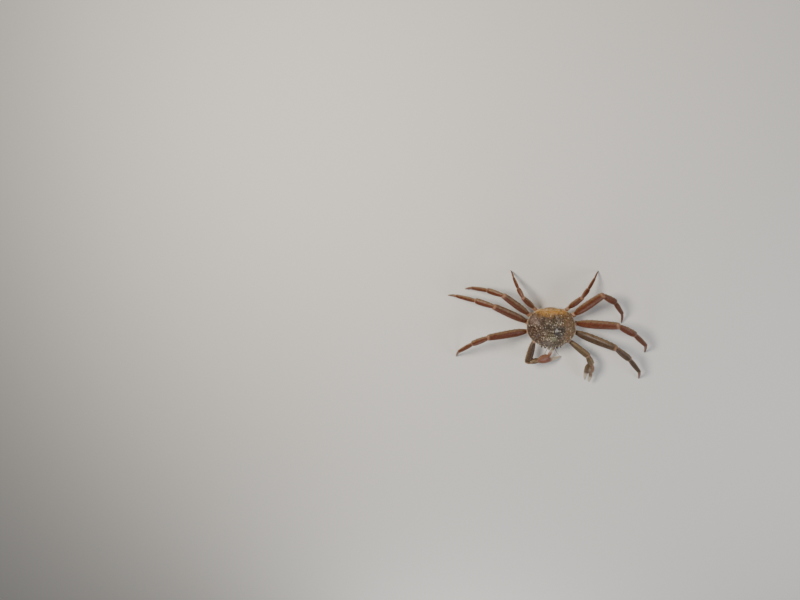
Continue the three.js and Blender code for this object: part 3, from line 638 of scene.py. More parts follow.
def edge_places(piece, heights, edge, lean, radius, height):
    """Feet for spines of that radius and height along one edge of a plate that still stands on +Z.

    heights: how far along, and how far round from the edge, in radians. edge is -1 for the outer edge and +1
    for the inner one, and lean is how far the spines lean towards the plate's end."""
    places = []
    for z, turn in heights:
        outward = Matrix.Rotation(turn, 3, "Z") @ Vector((edge, 0, 0))
        hit, foot, normal, _ = piece.ray_cast(outward * OUTSIDE + Vector((0, 0, z)), -outward)
        if hit:
            places.append((foot, normal + Vector((0, 0, lean)), radius, height))
    return places


# Materials

def new_material(name):
    material = bpy.data.materials.new(name)
    material.use_nodes = True
    material.node_tree.nodes.clear()
    return material, material.node_tree


def paint(tree, tone, layers):
    """Lays colours over one another. A layer comes in as its value runs from low to high, up to an amount."""
    for value, low, high, amount, hue in layers:
        share = add_node(
            tree,
            "ShaderNodeMapRange",
            {"Value": value, "From Min": low, "From Max": high, "To Max": amount},
            interpolation_type="SMOOTHSTEP",
        )
        tone = add_node(tree, "ShaderNodeMix", {0: share, 6: tone, 7: hue}, 2, data_type="RGBA")
    return tone


def wet_shell(tree, tone, grain_size, depth, rough_low, rough_high):
    """Chitin hardened with chalk, wet from the sea: a clear thin film over a slightly rough shell."""
    coordinates = add_node(tree, "ShaderNodeTexCoord", output="Object")
    # Wetter and drier patches, and the shell's own grain.
    patches, grain = (
        add_node(tree, "ShaderNodeTexNoise", {"Vector": coordinates, "Scale": 1 / size, "Detail": detail})
        for size, detail in ((7 * MM, 3.0), (grain_size, 4.0))
    )
    roughness = add_node(
        tree,
        "ShaderNodeMapRange",
        {"Value": patches, "From Min": 0.35, "From Max": 0.65, "To Min": rough_low, "To Max": rough_high},
    )
    # The tips of the granules are polished.
    tip = add_node(tree, "ShaderNodeAttribute", output="Fac", attribute_name="tip")
    roughness = add_node(tree, "ShaderNodeMath", {0: tip, 1: -0.22, 2: roughness}, operation="MULTIPLY_ADD")
    bump = add_node(tree, "ShaderNodeBump", {"Height": grain, "Strength": 0.6, "Distance": depth})
    shader = add_node(
        tree,
        "ShaderNodeBsdfPrincipled",
        {
            "Base Color": tone,
            "Roughness": roughness,
            "Normal": bump,
            "IOR": 1.5,
            "Specular IOR Level": 0.35,
            "Coat Weight": 0.15,
            "Coat Roughness": 0.14,
            "Coat IOR": 1.4,
        },
    )
    add_node(tree, "ShaderNodeOutputMaterial", {"Surface": shader})


# Where the patches of the back lie on its plan, how far noise pushes their edges about, and how much further
# back the golden band starts for each millimetre out from the middle. The pale spots on the slate and green
# patches are painted highlights of wet shell, and the dark patch is painted shade in the hollow in front of
# the heart swelling.
PATCHES = {
    "slate": (24, 1), "glint": (18, 6), "green": (2, -14), "green_glint_painted": (8, -22), "dark": (-2, 14),
    "mauve": (-48, 32),
}
PATCH_WANDER = 26 * MM
BAND_SLANT = 0.1


def granular_shell():
    """The back: brown chitin with granule tips paler, partly painted highlight, mottled, golden behind, slate
    and green in places, with painted glints on the slate and green patches and painted shade before the heart
    swelling.
    """
    hues = bpy.context.scene.crab_colours
    material, tree = new_material("granular crab shell, wet")
    coordinates = add_node(tree, "ShaderNodeTexCoord", output="Object")
    wander = add_node(
        tree,
        "ShaderNodeTexNoise",
        {"Vector": coordinates, "Scale": 1 / (15 * MM), "Detail": 5.0, "Roughness": 0.68},
        "Color",
    )
    # The plan from the middle of the back, flattened, its patches' edges pushed about by the noise.
    centre = BODY * MM + Vector((PATCH_WANDER, PATCH_WANDER, 0)) / 2
    flat = add_node(
        tree, "ShaderNodeMapping", {"Vector": coordinates, "Location": tuple(-centre), "Scale": (1, 1, 0)}
    )
    pushed = {0: wander, 1: (PATCH_WANDER, PATCH_WANDER, 0), 2: flat}
    plan = add_node(tree, "ShaderNodeVectorMath", pushed, operation="MULTIPLY_ADD")
    across, rearward = (add_node(tree, "ShaderNodeSeparateXYZ", {0: plan}, axis) for axis in "XY")
    sideways = add_node(tree, "ShaderNodeMath", {0: across}, operation="ABSOLUTE")
    slanted = {0: sideways, 1: -BAND_SLANT, 2: rearward}
    band = add_node(tree, "ShaderNodeMath", slanted, operation="MULTIPLY_ADD")
    patches = {}
    for name, (x, y) in PATCHES.items():
        ends = {0: plan, 1: (x * MM, y * MM, 0)}
        patches[name] = add_node(tree, "ShaderNodeVectorMath", ends, "Value", operation="DISTANCE")
    blotches, flecks = (
        add_node(
            tree,
            "ShaderNodeTexNoise",
            {"Vector": coordinates, "Scale": 1 / (size * MM), "Detail": detail, "Roughness": roughness},
        )
        for size, detail, roughness in ((6, 5.0, 0.7), (2.4, 3.0, 0.6))
    )
    rim, under, tip = (
        add_node(tree, "ShaderNodeAttribute", output="Fac", attribute_name=name)
        for name in ("rim", "under", "tip")
    )
    tone = paint(
        tree,
        hues.back,
        [
            (across, -6 * MM, -38 * MM, 1.0, hues.back_right),
            (across, 24 * MM, 48 * MM, 0.9, hues.back_left),
            (rearward, -26 * MM, -46 * MM, 0.7, hues.back_front),
            # Painted shade in the hollow in front of the heart swelling.
            (patches["dark"], 18 * MM, 8 * MM, 0.5, hues.back_dark_and_shade),
            (patches["mauve"], 20 * MM, 6 * MM, 0.7, hues.mauve),
            (patches["green"], 17 * MM, 7 * MM, 0.8, hues.green),
            (band, 36 * MM, 45 * MM, 0.9, hues.rear_band),
            (band, 43 * MM, 52 * MM, 0.85, hues.rear_gold),
            # Painted highlight: a pale wet glint on the grey-green patch.
            (patches["green_glint_painted"], 11 * MM, 3 * MM, 0.6, hues.green_glint_painted),
            (rim, 0.35, 0.9, 0.6, hues.rim),
            (blotches, 0.5, 0.64, 0.8, hues.back_dark_and_shade),
            (blotches, 0.44, 0.34, 0.6, hues.back_pale),
            (flecks, 0.55, 0.66, 0.65, hues.back_pale),
            (patches["slate"], 21 * MM, 12 * MM, 0.8, hues.slate),
            (flecks, 0.46, 0.35, 0.8, hues.back_dark_and_shade),
            # Painted highlight: the pale wet glint in the slate patch.
            (patches["glint"], 6 * MM, 1 * MM, 0.8, hues.slate_glint_painted),
            # Paler granule tips: partly their own cream, partly painted highlight.
            (tip, 0.1, 0.9, 0.9, hues.tubercle),
            (under, 0.2, 0.9, 0.85, hues.underside),
        ],
    )
    wet_shell(tree, tone, 1.3 * MM, 0.9 * MM, 0.42, 0.6)
    return material


def limb_pattern(tree, blotch_size, detail, roughness, raggedness):
    """What a limb's colours follow: blotches, flecks, the edge, and the outer edge and both ends made ragged.

    "edge" runs from -1 on the outer edge to +1 on the inner one, and "along" from 0 to 1."""
    coordinates = add_node(tree, "ShaderNodeTexCoord", output="Object")
    blotches, flecks = (
        add_node(
            tree,
            "ShaderNodeTexNoise",
            {"Vector": coordinates, "Scale": 1 / (size * MM), "Detail": fineness, "Roughness": rough},
        )
        for size, fineness, rough in ((blotch_size, detail, roughness), (1.8, 3.0, 0.6))
    )
    edge, along = (
        add_node(tree, "ShaderNodeAttribute", output="Fac", attribute_name=name)
        for name in ("edge", "along")
    )
    outer = add_node(tree, "ShaderNodeMath", {0: edge, 1: -1.0, 2: blotches}, operation="MULTIPLY_ADD")
    ends = add_node(tree, "ShaderNodeMath", {0: blotches, 1: raggedness, 2: along}, operation="MULTIPLY_ADD")
    return blotches, flecks, edge, outer, ends


def limb_shell(name, main, dark, pale, joint):
    """A limb's plate: ruddy chitin, mottled darker, cream on its upper edge and pale pink at its joints."""
    if name in bpy.data.materials:
        return bpy.data.materials[name]
    material, tree = new_material(name)
    blotches, flecks, edge, outer, ends = limb_pattern(tree, 9, 6.0, 0.7, 0.08)
    inner = add_node(tree, "ShaderNodeMath", {0: edge, 1: blotches}, operation="ADD")
    tip = add_node(tree, "ShaderNodeAttribute", output="Fac", attribute_name="tip")
    tone = paint(
        tree,
        main,
        [
            (blotches, 0.5, 0.7, 0.6, dark),
            (outer, 1.05, 1.5, 0.7, pale),
            (inner, 1.15, 1.6, 0.4, joint),
            (flecks, 0.54, 0.66, 0.35, pale),
            (flecks, 0.47, 0.36, 0.7, dark),
            (ends, 0.09, 0.04, 0.8, joint),
            (ends, 1.01, 1.06, 0.7, joint),
            # Paler tips of spines and granules; on the granules partly painted highlight.
            (tip, 0.3, 1.0, 0.45, pale),
        ],
    )
    wet_shell(tree, tone, 1.2 * MM, 0.6 * MM, 0.42, 0.62)
    return material


def tipped_shell(name, main, dark, pale, tip_colour, tip_from, tip_to):
    """A toe or finger: mottled chitin that turns to bare, paler or darker, harder shell at its tip."""
    material, tree = new_material(name)
    raggedness = 0.3
    middle = raggedness / 2
    blotches, flecks, _, outer, ends = limb_pattern(tree, 6, 5.0, 0.65, raggedness)
    tone = paint(
        tree,
        main,
        [
            (blotches, 0.48, 0.7, 0.6, dark),
            (outer, 0.8, 1.4, 0.7, pale),
            (flecks, 0.54, 0.66, 0.5, pale),
            (flecks, 0.46, 0.34, 0.45, dark),
            (ends, tip_from + middle, tip_to + middle, 1.0, tip_colour),
        ],
    )
    wet_shell(tree, tone, 1.2 * MM, 0.3 * MM, 0.28, 0.48)
    return material


def underside_shell():
    """Cream, nearly smooth chitin with faint pink clouds, as the belly of the crab is."""
    hues = bpy.context.scene.crab_colours
    material, tree = new_material("smooth belly shell")
    coordinates = add_node(tree, "ShaderNodeTexCoord", output="Object")
    clouds, specks = (
        add_node(tree, "ShaderNodeTexNoise", {"Vector": coordinates, "Scale": 1 / size, "Detail": detail})
        for size, detail in ((20 * MM, 4.0), (2.5 * MM, 3.0))
    )
    groove, upper = (
        add_node(tree, "ShaderNodeAttribute", output="Fac", attribute_name=name)
        for name in ("groove", "upper")
    )
    ragged = add_node(tree, "ShaderNodeMath", {0: clouds, 1: 0.5, 2: upper}, operation="MULTIPLY_ADD")
    tone = paint(
        tree,
        hues.underside,
        [
            (clouds, 0.48, 0.72, 0.4, hues.joint),
            (ragged, 0.55, 0.85, 0.9, hues.rear_band),
            (specks, 0.6, 0.72, 0.3, hues.leg_pale),
            (specks, 0.44, 0.34, 0.25, hues.crease),
            (groove, 0.3, 0.95, 0.75, hues.crease),
        ],
    )
    wet_shell(tree, tone, 1.5 * MM, 0.3 * MM, 0.3, 0.5)
    return material


def eye_cornea():
    """The eye: a dark, smooth, bulging lens with a mirror-like wet gloss, on a ruddy stalk."""
    hues = bpy.context.scene.crab_colours
    material, tree = new_material("eye cornea")
    coordinates = add_node(tree, "ShaderNodeTexCoord", output="Object")
    clouds = add_node(tree, "ShaderNodeTexNoise", {"Vector": coordinates, "Scale": 1 / (2 * MM)})
    along = add_node(tree, "ShaderNodeAttribute", output="Fac", attribute_name="along")
    tone = paint(
        tree,
        hues.leg,
        [
            (clouds, 0.4, 0.6, 1.0, hues.leg_dark),
            (along, 0.42, 0.5, 1.0, hues.leg_pale),
            (along, 0.5, 0.56, 1.0, hues.eye),
        ],
    )
    shader = add_node(
        tree,
        "ShaderNodeBsdfPrincipled",
        {"Base Color": tone, "Roughness": 0.12, "IOR": 1.45, "Coat Weight": 1.0, "Coat Roughness": 0.03},
    )
    add_node(tree, "ShaderNodeOutputMaterial", {"Surface": shader})
    return material


# Operators, one for each piece or group of like pieces

class CRAB_OT_carapace(bpy.types.Operator):
    """Draw the back shell with its swellings, grooves, rim, snout, granules and edge spines"""

    bl_idname = "crab.carapace"
    bl_label = "Carapace"

    SIDES = 144
    # Rings from the middle of the underside out to the edge: share of the outline, and depth as a share.
    UNDER_RINGS = [
        (0.3, 1.0), (0.6, 1.04), (0.8, 1.02), (0.88, 0.92), (0.93, 0.72), (0.97, 0.45), (0.99, 0.2),
    ]
    # How far the underside rises towards its middle at least, and how many of the small granules it lacks.
    UNDER_RISE = 1.5
    UNDER_BARE = 0.7
    BACK_RINGS = 34
    # The power by which the back's rings crowd at the edge.
    RING_CROWDING = 1.25
    # The notch for each eye: how far out, its half-width and its depth. The front is within so many radians.
    EYE_NOTCH = (14, 3.6, 4.2)
    FRONT_TURN = 1
    # Granules, largest first: their size, spacing, paleness, sides, rings and what says where they stand.
    GRANULES = [
        ("tubercle", 4.6, 1.0, 8, 5, "clusters"),
        ("bead", 3.6, 0.6, 6, 4, "cover"),
        ("granule", 1.65, 0.35, 5, 3, "cover"),
    ]
    # Noise gathers the tubercles in clusters of this breadth: the usual cover, how far noise swings it, and
    # the least between clusters. There are none below the floor.
    CLUSTER_BREADTH = 11
    CLUSTER_LAYER = 30
    CLUSTER_FLOOR = 50
    USUAL_COVER = 0.34
    COVER_SWING = 1.5
    LEAST_COVER = 0.04
    # The middle of the back, where they are thickest: reach across, reach along and y. Cover falls to a share
    # outside it.
    MIDDLE = (48, 46, -8)
    SHARE_OUTSIDE = 0.4
    # The ring of them behind the face: how far out, how broad, and the y that it begins at.
    FRONT_RING = (52, 6, -30)
    # Spines of each side edge: number, start and length of their stretch of the outline, as shares of it, the
    # two radii that take turns, height at the rear and gain towards the front, how far they tilt up, and how
    # far their feet are raised and set in.
    EDGE_SPINES = 19
    EDGE_STRETCH = (0.3, 0.48)
    EDGE_RADII = (1.7, 1.25)
    EDGE_HEIGHT = 2.0
    EDGE_GAIN = 2.2
    EDGE_TILT = 8
    EDGE_LIFT = 0.8
    EDGE_INSET = 0.6
    # The spine at each rear corner: foot, how far it is raised, way, and radius and height.
    CORNER = (34.5, 59.6)
    CORNER_LIFT = 0.5
    CORNER_WAY = (0.45, 1, 0.35)
    CORNER_SIZE = (2.2 * MM, 5 * MM)
    # The row of beads along the rear: number, the x that it starts at, length and y; a bead's way and size.
    REAR_BEADS = (17, -32, 64, 58.2)
    REAR_WAY = (0, 0.7, 1)
    REAR_SIZE = (1.2 * MM, 1.1 * MM)
    # The horn beside the middle and the spine outside the eye: rings, root, way and how pale they are.
    SNOUT = {
        "horn": (
            [(-3, 4.6, 3.2), (0, 4.5, 3.0), (5, 4.4, 2.7), (10, 3.2, 2.0), (14, 1.7, 1.2), (16, 0.5, 0.5)],
            (4.6, -50, 61.5),
            (0.12, -1, -0.05),
            0.55,
        ),
        "orbit_spine": (
            [(-3, 3.8, 3), (0, 3.6, 3), (5, 3, 2.4), (9, 1.5, 1.3), (11.5, 0.4, 0.4)],
            (24.5, -47, 61),
            (0.35, -1, 0.05),
            0,
        ),
    }

    def execute(self, context):
        sizes = context.scene.crab_sizes
        shares = [share for share, _ in self.UNDER_RINGS] + [1.0]
        shares += [1 - (i / self.BACK_RINGS) ** self.RING_CROWDING for i in range(1, self.BACK_RINGS)]
        rows = [(i / MM, share / MM, share / MM) for i, share in enumerate(shares)]
        shell = draw_rings("carapace_shell", rows, self.SIDES)
        depth = sizes.shell_depth / MM
        rim = len(self.UNDER_RINGS)
        rings = []
        for vertex in shell.data.vertices:
            ring = round(vertex.co.z)
            rings.append(ring)
            angle = math.atan2(vertex.co.x, vertex.co.y)
            reach = shares[ring] * self.notched_radius(angle)
            x, y = reach * math.sin(angle), reach * math.cos(angle)
            if ring < rim:
                z = margin_height(y) - depth * self.UNDER_RINGS[ring][1]
                z = max(z, sizes.margin_height / MM - depth + (1 - shares[ring]) * self.UNDER_RISE)
            else:
                z = back_height(x, y)
            vertex.co = Vector((x, y, z)) * MM
        store(shell, "rim", [float(abs(ring - rim) <= 1) for ring in rings])
        store(shell, "under", [float(ring < rim - 1) for ring in rings])
        smooth(shell, 1)
        under = [item.value for item in shell.data.attributes["under"].data]
        store(shell, "cover", [1 - self.UNDER_BARE * value for value in under])
        mark(shell, "clusters", lambda co: self.cluster(co / MM))
        for i, (size, spacing, *shape) in enumerate(self.GRANULES):
            add_granules(shell, spacing * MM, getattr(sizes, size), sizes.seed + i, *shape)
            self.no_cover_on_beads(shell)
        plant_spines(shell, self.spine_places())
        self.add_snout(shell)
        place(shell, Matrix())
        own(shell, granular_shell(), "carapace")
        return {"FINISHED"}

    def notched_radius(self, angle):
        """The outline, notched for the eyes."""
        out, half_width, depth = self.EYE_NOTCH
        radius = outline_radius(angle)
        turn = math.pi - abs(math.atan2(math.sin(angle), math.cos(angle)))
        if turn >= self.FRONT_TURN:
            return radius
        return radius - depth * math.exp(-(((radius * math.sin(turn) - out) / half_width) ** 2))

    def cluster(self, co):
        """How thickly large tubercles stand: in clusters, most over the middle and along the front."""
        if co.z < self.CLUSTER_FLOOR:
            return 0
        across, along, centre = self.MIDDLE
        middle = math.exp(-((co.x / across) ** 4) - (abs(co.y - centre) / along) ** 4)
        out, breadth, begin = self.FRONT_RING
        front = math.exp(-(((math.hypot(co.x, co.y) - out) / breadth) ** 2)) if co.y < begin else 0
        patch = noise.noise(Vector((co.x, co.y, self.CLUSTER_LAYER)) / self.CLUSTER_BREADTH)
        cover = min(max(self.USUAL_COVER + self.COVER_SWING * patch, self.LEAST_COVER), 1)
        return max(cover * (self.SHARE_OUTSIDE + (1 - self.SHARE_OUTSIDE) * middle), front)

    def no_cover_on_beads(self, shell):
        """Keeps the granules that follow off those that are there."""
        tips = shell.data.attributes["tip"].data
        for item, tip in zip(shell.data.attributes["cover"].data, tips):
            if tip.value != 0:
                item.value = 0

    def spine_places(self):
        """Spines on the side edges, longest in front, one at each rear corner, and beads along the rear."""
        places = []
        last = len(OUTLINE_CURVE) - 1
        first, stretch = self.EDGE_STRETCH
        for side in (1, -1):
            for i, share in enumerate(spread(0, 1, self.EDGE_SPINES)):
                x, y = OUTLINE_CURVE[round((first + stretch * share) * last)]
                outward = on_side(side, (x, y, self.EDGE_TILT)).normalized()
                foot = on_side(side, (x, y, margin_height(y) + self.EDGE_LIFT)) - outward * self.EDGE_INSET
                radius = self.EDGE_RADII[i % 2]
                height = (self.EDGE_HEIGHT + self.EDGE_GAIN * share) * radius / self.EDGE_RADII[0]
                places.append((foot * MM, outward, radius * MM, height * MM))
            x, y = self.CORNER
            corner = on_side(side, (x, y, margin_height(y) + self.CORNER_LIFT))
            places.append((corner * MM, on_side(side, self.CORNER_WAY), *self.CORNER_SIZE))
        count, start, reach, y = self.REAR_BEADS
        for x in spread(start, reach, count):
            foot = Vector((x, y, back_height(x, y)))
            places.append((foot * MM, Vector(self.REAR_WAY), *self.REAR_SIZE))
        return places

    def add_snout(self, shell):
        """The two flat horns between the eyes and the spine outside each."""
        for side in (1, -1):
            horns = []
            for name, (rows, root, way, paleness) in self.SNOUT.items():
                horn = smooth(draw_rings(name, rows, LIMB_SIDES), 2)
                mark(horn, "rim", lambda co: paleness)
                pose = frame_of(on_side(side, root), on_side(side, way).normalized(), Vector((side, 0, 0)))
                pose.translation *= MM
                horn.matrix_world = pose
                horns.append(horn)
            join(shell, horns)


class CRAB_OT_eyes(bpy.types.Operator):
    """Draw the two eyes, each a glossy ball on a short stalk"""

    bl_idname = "crab.eyes"
    bl_label = "Eyes"
    # Rings of the stalk and its ball, and the root and way of both.
    EYE = [
        (-2, 2.6, 2.6), (2.5, 2.3, 2.3), (5, 2.4, 2.4), (6.4, 3.1, 3.1), (8.4, 3.7, 3.7), (10.6, 3.6, 3.6),
        (12.4, 2.5, 2.5), (13.3, 1, 1),
    ]
    SIDES = 16
    ROOT = (12.5, -48.5, 57.5)
    WAY = (0.5, -1, 0.22)

    def execute(self, context):
        material = eye_cornea()
        length = self.EYE[-1][0]
        for side, name in SIDE_NAMES:
            eye = smooth(draw_rings("eye_ball_" + name, self.EYE, self.SIDES), 2)
            mark(eye, "along", lambda co: co.z / (length * MM))
            way = on_side(side, self.WAY).normalized()
            place(eye, frame_of(on_side(side, self.ROOT), way, Vector((0, 0, 1))))
            own(eye, material, "eye_" + name)
        return {"FINISHED"}


class CRAB_OT_antennae(bpy.types.Operator):
    """Draw the two slim, ringed antennae"""

    bl_idname = "crab.antennae"
    bl_label = "Antennae"
    # Rings of the two stout joints at the root.
    JOINTS = [
        (-2.5, 1.9, 1.9), (1.5, 2.5, 2.3), (3.6, 2.2, 2), (4.1, 1.6, 1.5), (4.8, 1.9, 1.8), (6.6, 1.6, 1.5),
        (7, 1.1, 1.1),
    ]
    # The whip past them: where it starts, its rings, 1 mm apart, its radius and what it loses of that towards
    # its tip and by which power, its narrower rings, and how it curves outward.
    WHIP_START = 7.6
    WHIP_RINGS = 34
    WHIP_RADIUS = 1.25
    WHIP_LOSS = 0.9
    WHIP_TAPER = 0.7
    WHIP_WAIST = 0.82
    WHIP_CURVE = 0.0045
    SIDES = 8
    ROOT = (7.2, -52.5, 54.2)
    WAY = (0.28, -1, -0.02)
    # Its colours are those of a limb of this length, from this share of it on.
    COLOUR_START = 0.3
    COLOUR_LENGTH = 90 * MM

    def execute(self, context):
        hues = context.scene.crab_colours
        material = limb_shell("antenna chitin", hues.leg, hues.leg_dark, hues.leg_pale, hues.leg)
        rows = list(self.JOINTS)
        for i in range(self.WHIP_RINGS):
            z = self.WHIP_START + i
            radius = self.WHIP_RADIUS - self.WHIP_LOSS * (i / (self.WHIP_RINGS - 1)) ** self.WHIP_TAPER
            radius *= 1 if i % 2 else self.WHIP_WAIST
            rows.append((z, radius, radius, self.WHIP_CURVE * z * z))
        for side, name in SIDE_NAMES:
            whip = smooth(draw_rings("antenna_whip_" + name, rows, self.SIDES), 1)
            mark(whip, "along", lambda co: self.COLOUR_START + co.z / self.COLOUR_LENGTH)
            way = on_side(side, self.WAY).normalized()
            place(whip, frame_of(on_side(side, self.ROOT), way, Vector((side, 0, 0))))
            own(whip, material, "antenna_" + name)
        return {"FINISHED"}


class CRAB_OT_walking_legs(bpy.types.Operator):
    """Draw the eight walking legs, five plates each, with their edge spines and granules"""

    bl_idname = "crab.walking_legs"
    bl_label = "Walking legs"
    GRANULE_RADIUS = 0.42
    GRANULE_SPACING = {"merus": 2.6, "carpus": 2.6, "propodus": 2.8}
    # Spines of the outer edge: about how far apart, and radius; start and length of their stretch, as shares
    # of the plate; how far round they stand in turn, in radians; and their height in radii.
    SPINES = {"merus": (8.5, 1.25), "carpus": (9, 1.15)}
    SPINE_STRETCH = (0.14, 0.8)
    SPINE_TURNS = (-0.16, 0.16)
    SPINE_HEIGHT = 1.9

    def execute(self, context):
        seed = context.scene.crab_sizes.seed
        hues = context.scene.crab_colours
        dark, pale = hues.leg_dark, hues.leg_pale
        ruddy = limb_shell("leg chitin, wet", hues.leg, dark, pale, hues.joint)
        olive = limb_shell("leg chitin, olive", hues.leg_olive, dark, pale, hues.joint)
        base_shell = limb_shell("leg base chitin", hues.joint, hues.leg, hues.finger, hues.joint)
        toe_shell = tipped_shell("toe chitin", hues.leg, dark, pale, dark, 0.86, 1.0)
        for number, leg in enumerate(WALKING_LEGS, 1):
            reach, girth, lengths = leg[1], leg[2], leg[3]
            for side, side_name in SIDE_NAMES:
                shell = olive if (number, side) == (1, 1) else ruddy
                frames = standing_leg(leg, side)
                for part, pose, length in zip(LEG_SHAPES, frames, (reach, *lengths)):
                    node = "leg_%s_%d_%s" % (side_name, number, part)
                    plate = self.plate(node, part, length, girth, seed + number * 7 + (side > 0))
                    place(plate, pose)
                    if part == "dactyl":
                        flatten_toe(plate)
                    material = {"base": base_shell, "dactyl": toe_shell}.get(part, shell)
                    own(plate, material, node)
        return {"FINISHED"}

    def plate(self, node, part, length, girth, seed):
        rows = rows_for(LEG_SHAPES[part], length, girth)
        plate = smooth(draw_rings("shell_" + node, rows, LIMB_SIDES), 3 if part == "merus" else 2)
        mark_limb(plate, rows, length)
        if part in self.GRANULE_SPACING:
            add_granules(plate, self.GRANULE_SPACING[part] * MM, self.GRANULE_RADIUS * girth**0.5 * MM, seed)
        if part in self.SPINES:
            apart, radius = self.SPINES[part]
            radius = radius * girth * MM
            shares = spread(*self.SPINE_STRETCH, int(length / apart))
            heights = [(share * length * MM, self.SPINE_TURNS[i % 2]) for i, share in enumerate(shares)]
            feet = edge_places(plate, heights, -1, SPINE_LEAN, radius, self.SPINE_HEIGHT * radius)
            plant_spines(plate, feet)
        return plate


def mark_limb(plate, rows, length):
    """Stores how far along and how near its outer edge each vertex of a plate is, and its granules' cover."""
    stops = [row[0] * MM for row in rows]

    def edge(co):
        """From -1 on the outer edge to +1 on the inner one, between the rings on either side of the place."""
        i = min(max(bisect.bisect(stops, co.z), 1), len(rows) - 1)
        share = min(max((co.z - stops[i - 1]) / (stops[i] - stops[i - 1]), 0), 1)
        (_, half, _, shift), (_, next_half, _, next_shift) = rows[i - 1], rows[i]
        shift = (shift + (next_shift - shift) * share) * MM
        return (co.x - shift) / ((half + (next_half - half) * share) * MM)

    def cover(co):
        """Granules stand thickest along the outer edge, and there are none where the plate is rooted."""
        thick = max(LIMB_COVER_LEAST, LIMB_COVER - LIMB_COVER_SLOPE * edge(co))
        return thick * (BARE_ROOT < co.z / (length * MM) < 1)

    mark(plate, "along", lambda co: co.z / (length * MM))
    mark(plate, "edge", edge)
    mark(plate, "cover", cover)


def flatten_toe(plate):
    """Grinds a toe flat where it stands on the floor."""
    choose(plate)
    bpy.ops.object.mode_set(mode="EDIT")
    bpy.ops.mesh.select_all(action="SELECT")
    bpy.ops.mesh.bisect(
        plane_co=(0, 0, 0), plane_no=(0, 0, 1), use_fill=True, clear_inner=True, threshold=CUT_THRESHOLD
    )
    sort_faces()
    bpy.ops.object.mode_set(mode="OBJECT")


class CRAB_OT_claws(bpy.types.Operator):
    """Draw the two claw legs, with toothed fingers"""

    bl_idname = "crab.claws"
    bl_label = "Claws"

    SLOTS = {
        "base": "leg_base_shell", "merus": "claw_leg_shell", "carpus": "claw_leg_shell", "palm": "claw_shell",
        "finger": "claw_shell",
    }
    GRANULE_RADIUS = 0.45
    GRANULE_SPACING = 2.6
    # Spines of the outer edge: their number, and the share of the plate where the last one stands; where the
    # first one does; how far round to either side they stand, in radians; their radius and height.
    SPINES = {"merus": (8, 0.9), "carpus": (4, 0.9), "palm": (6, 0.75)}
    FIRST_SPINE = 0.18
    SPINE_TURNS = (0.2, -0.2)
    SPINE_SIZE = (1.35 * MM, 2.3 * MM)
    # Teeth of each finger: their number, radius and height. The fixed finger's stand on a stretch past the
    # palm, in millimetres, and the movable finger's on one of it, as shares.
    TEETH = 9
    TOOTH_SIZE = (1.3 * MM, 1.1 * MM)
    FIXED_STRETCH = (9, 27)
    MOVABLE_STRETCH = (0.26, 0.64)
    # Past a finger's end, so that its teeth are as pale as its tip.
    TOOTH_COLOUR = 1.5

    def execute(self, context):
        seed = context.scene.crab_sizes.seed
        hues = context.scene.crab_colours
        base_shell = limb_shell("leg base chitin", hues.joint, hues.leg, hues.finger, hues.joint)
        mains = (hues.claw_left, hues.claw_right)
        sleeves = (hues.claw_left, hues.leg_olive)
        dark, pale, joint, tip = hues.leg_dark, hues.leg_pale, hues.joint, hues.finger
        for claw, (_, name), main, sleeve in zip(CLAWS, SIDE_NAMES, mains, sleeves):
            arm = limb_shell("claw arm chitin, " + name, sleeve, dark, pale, joint)
            hand = tipped_shell("claw chitin, " + name, main, dark, joint, tip, 0.98, 1.35)
            tips = tipped_shell("finger chitin, " + name, main, main, joint, tip, 0.15, 0.5)
            materials = [base_shell, arm, arm, hand, tips]
            for (part, shape), pose, material in zip(CLAW_SHAPES.items(), reaching_claw(claw), materials):
                node = "claw_%s_%s" % (name, part)
                length = CLAW_LENGTHS[part]
                rows = rows_for(shape, length, 1)
                plate = smooth(draw_rings("shell_" + node, rows, LIMB_SIDES), 3 if part == "palm" else 2)
                mark_limb(plate, rows, length)
                if part in self.SPINES:
                    add_granules(plate, self.GRANULE_SPACING * MM, self.GRANULE_RADIUS * MM, seed + len(part))
                self.arm(plate, part, length)
                place(plate, pose)
                own(plate, material, node)
        return {"FINISHED"}

    def arm(self, plate, part, length):
        """Spines on the outer edge of the arm and palm, and teeth where the fingers bite."""
        if part in self.SPINES:
            count, last = self.SPINES[part]
            shares = spread(self.FIRST_SPINE, last - self.FIRST_SPINE, count)
            heights = [(share * length * MM, self.SPINE_TURNS[i % 2]) for i, share in enumerate(shares)]
            plant_spines(plate, edge_places(plate, heights, -1, SPINE_LEAN, *self.SPINE_SIZE))
        if part == "palm":
            past, reach = self.FIXED_STRETCH
            heights = [(z * MM, 0) for z in spread(length + past, reach, self.TEETH)]
            plant_spines(plate, edge_places(plate, heights, -1, 0, *self.TOOTH_SIZE), self.TOOTH_COLOUR)
        if part == "finger":
            heights = [(share * length * MM, 0) for share in spread(*self.MOVABLE_STRETCH, self.TEETH)]
            plant_spines(plate, edge_places(plate, heights, 1, 0, *self.TOOTH_SIZE), self.TOOTH_COLOUR)


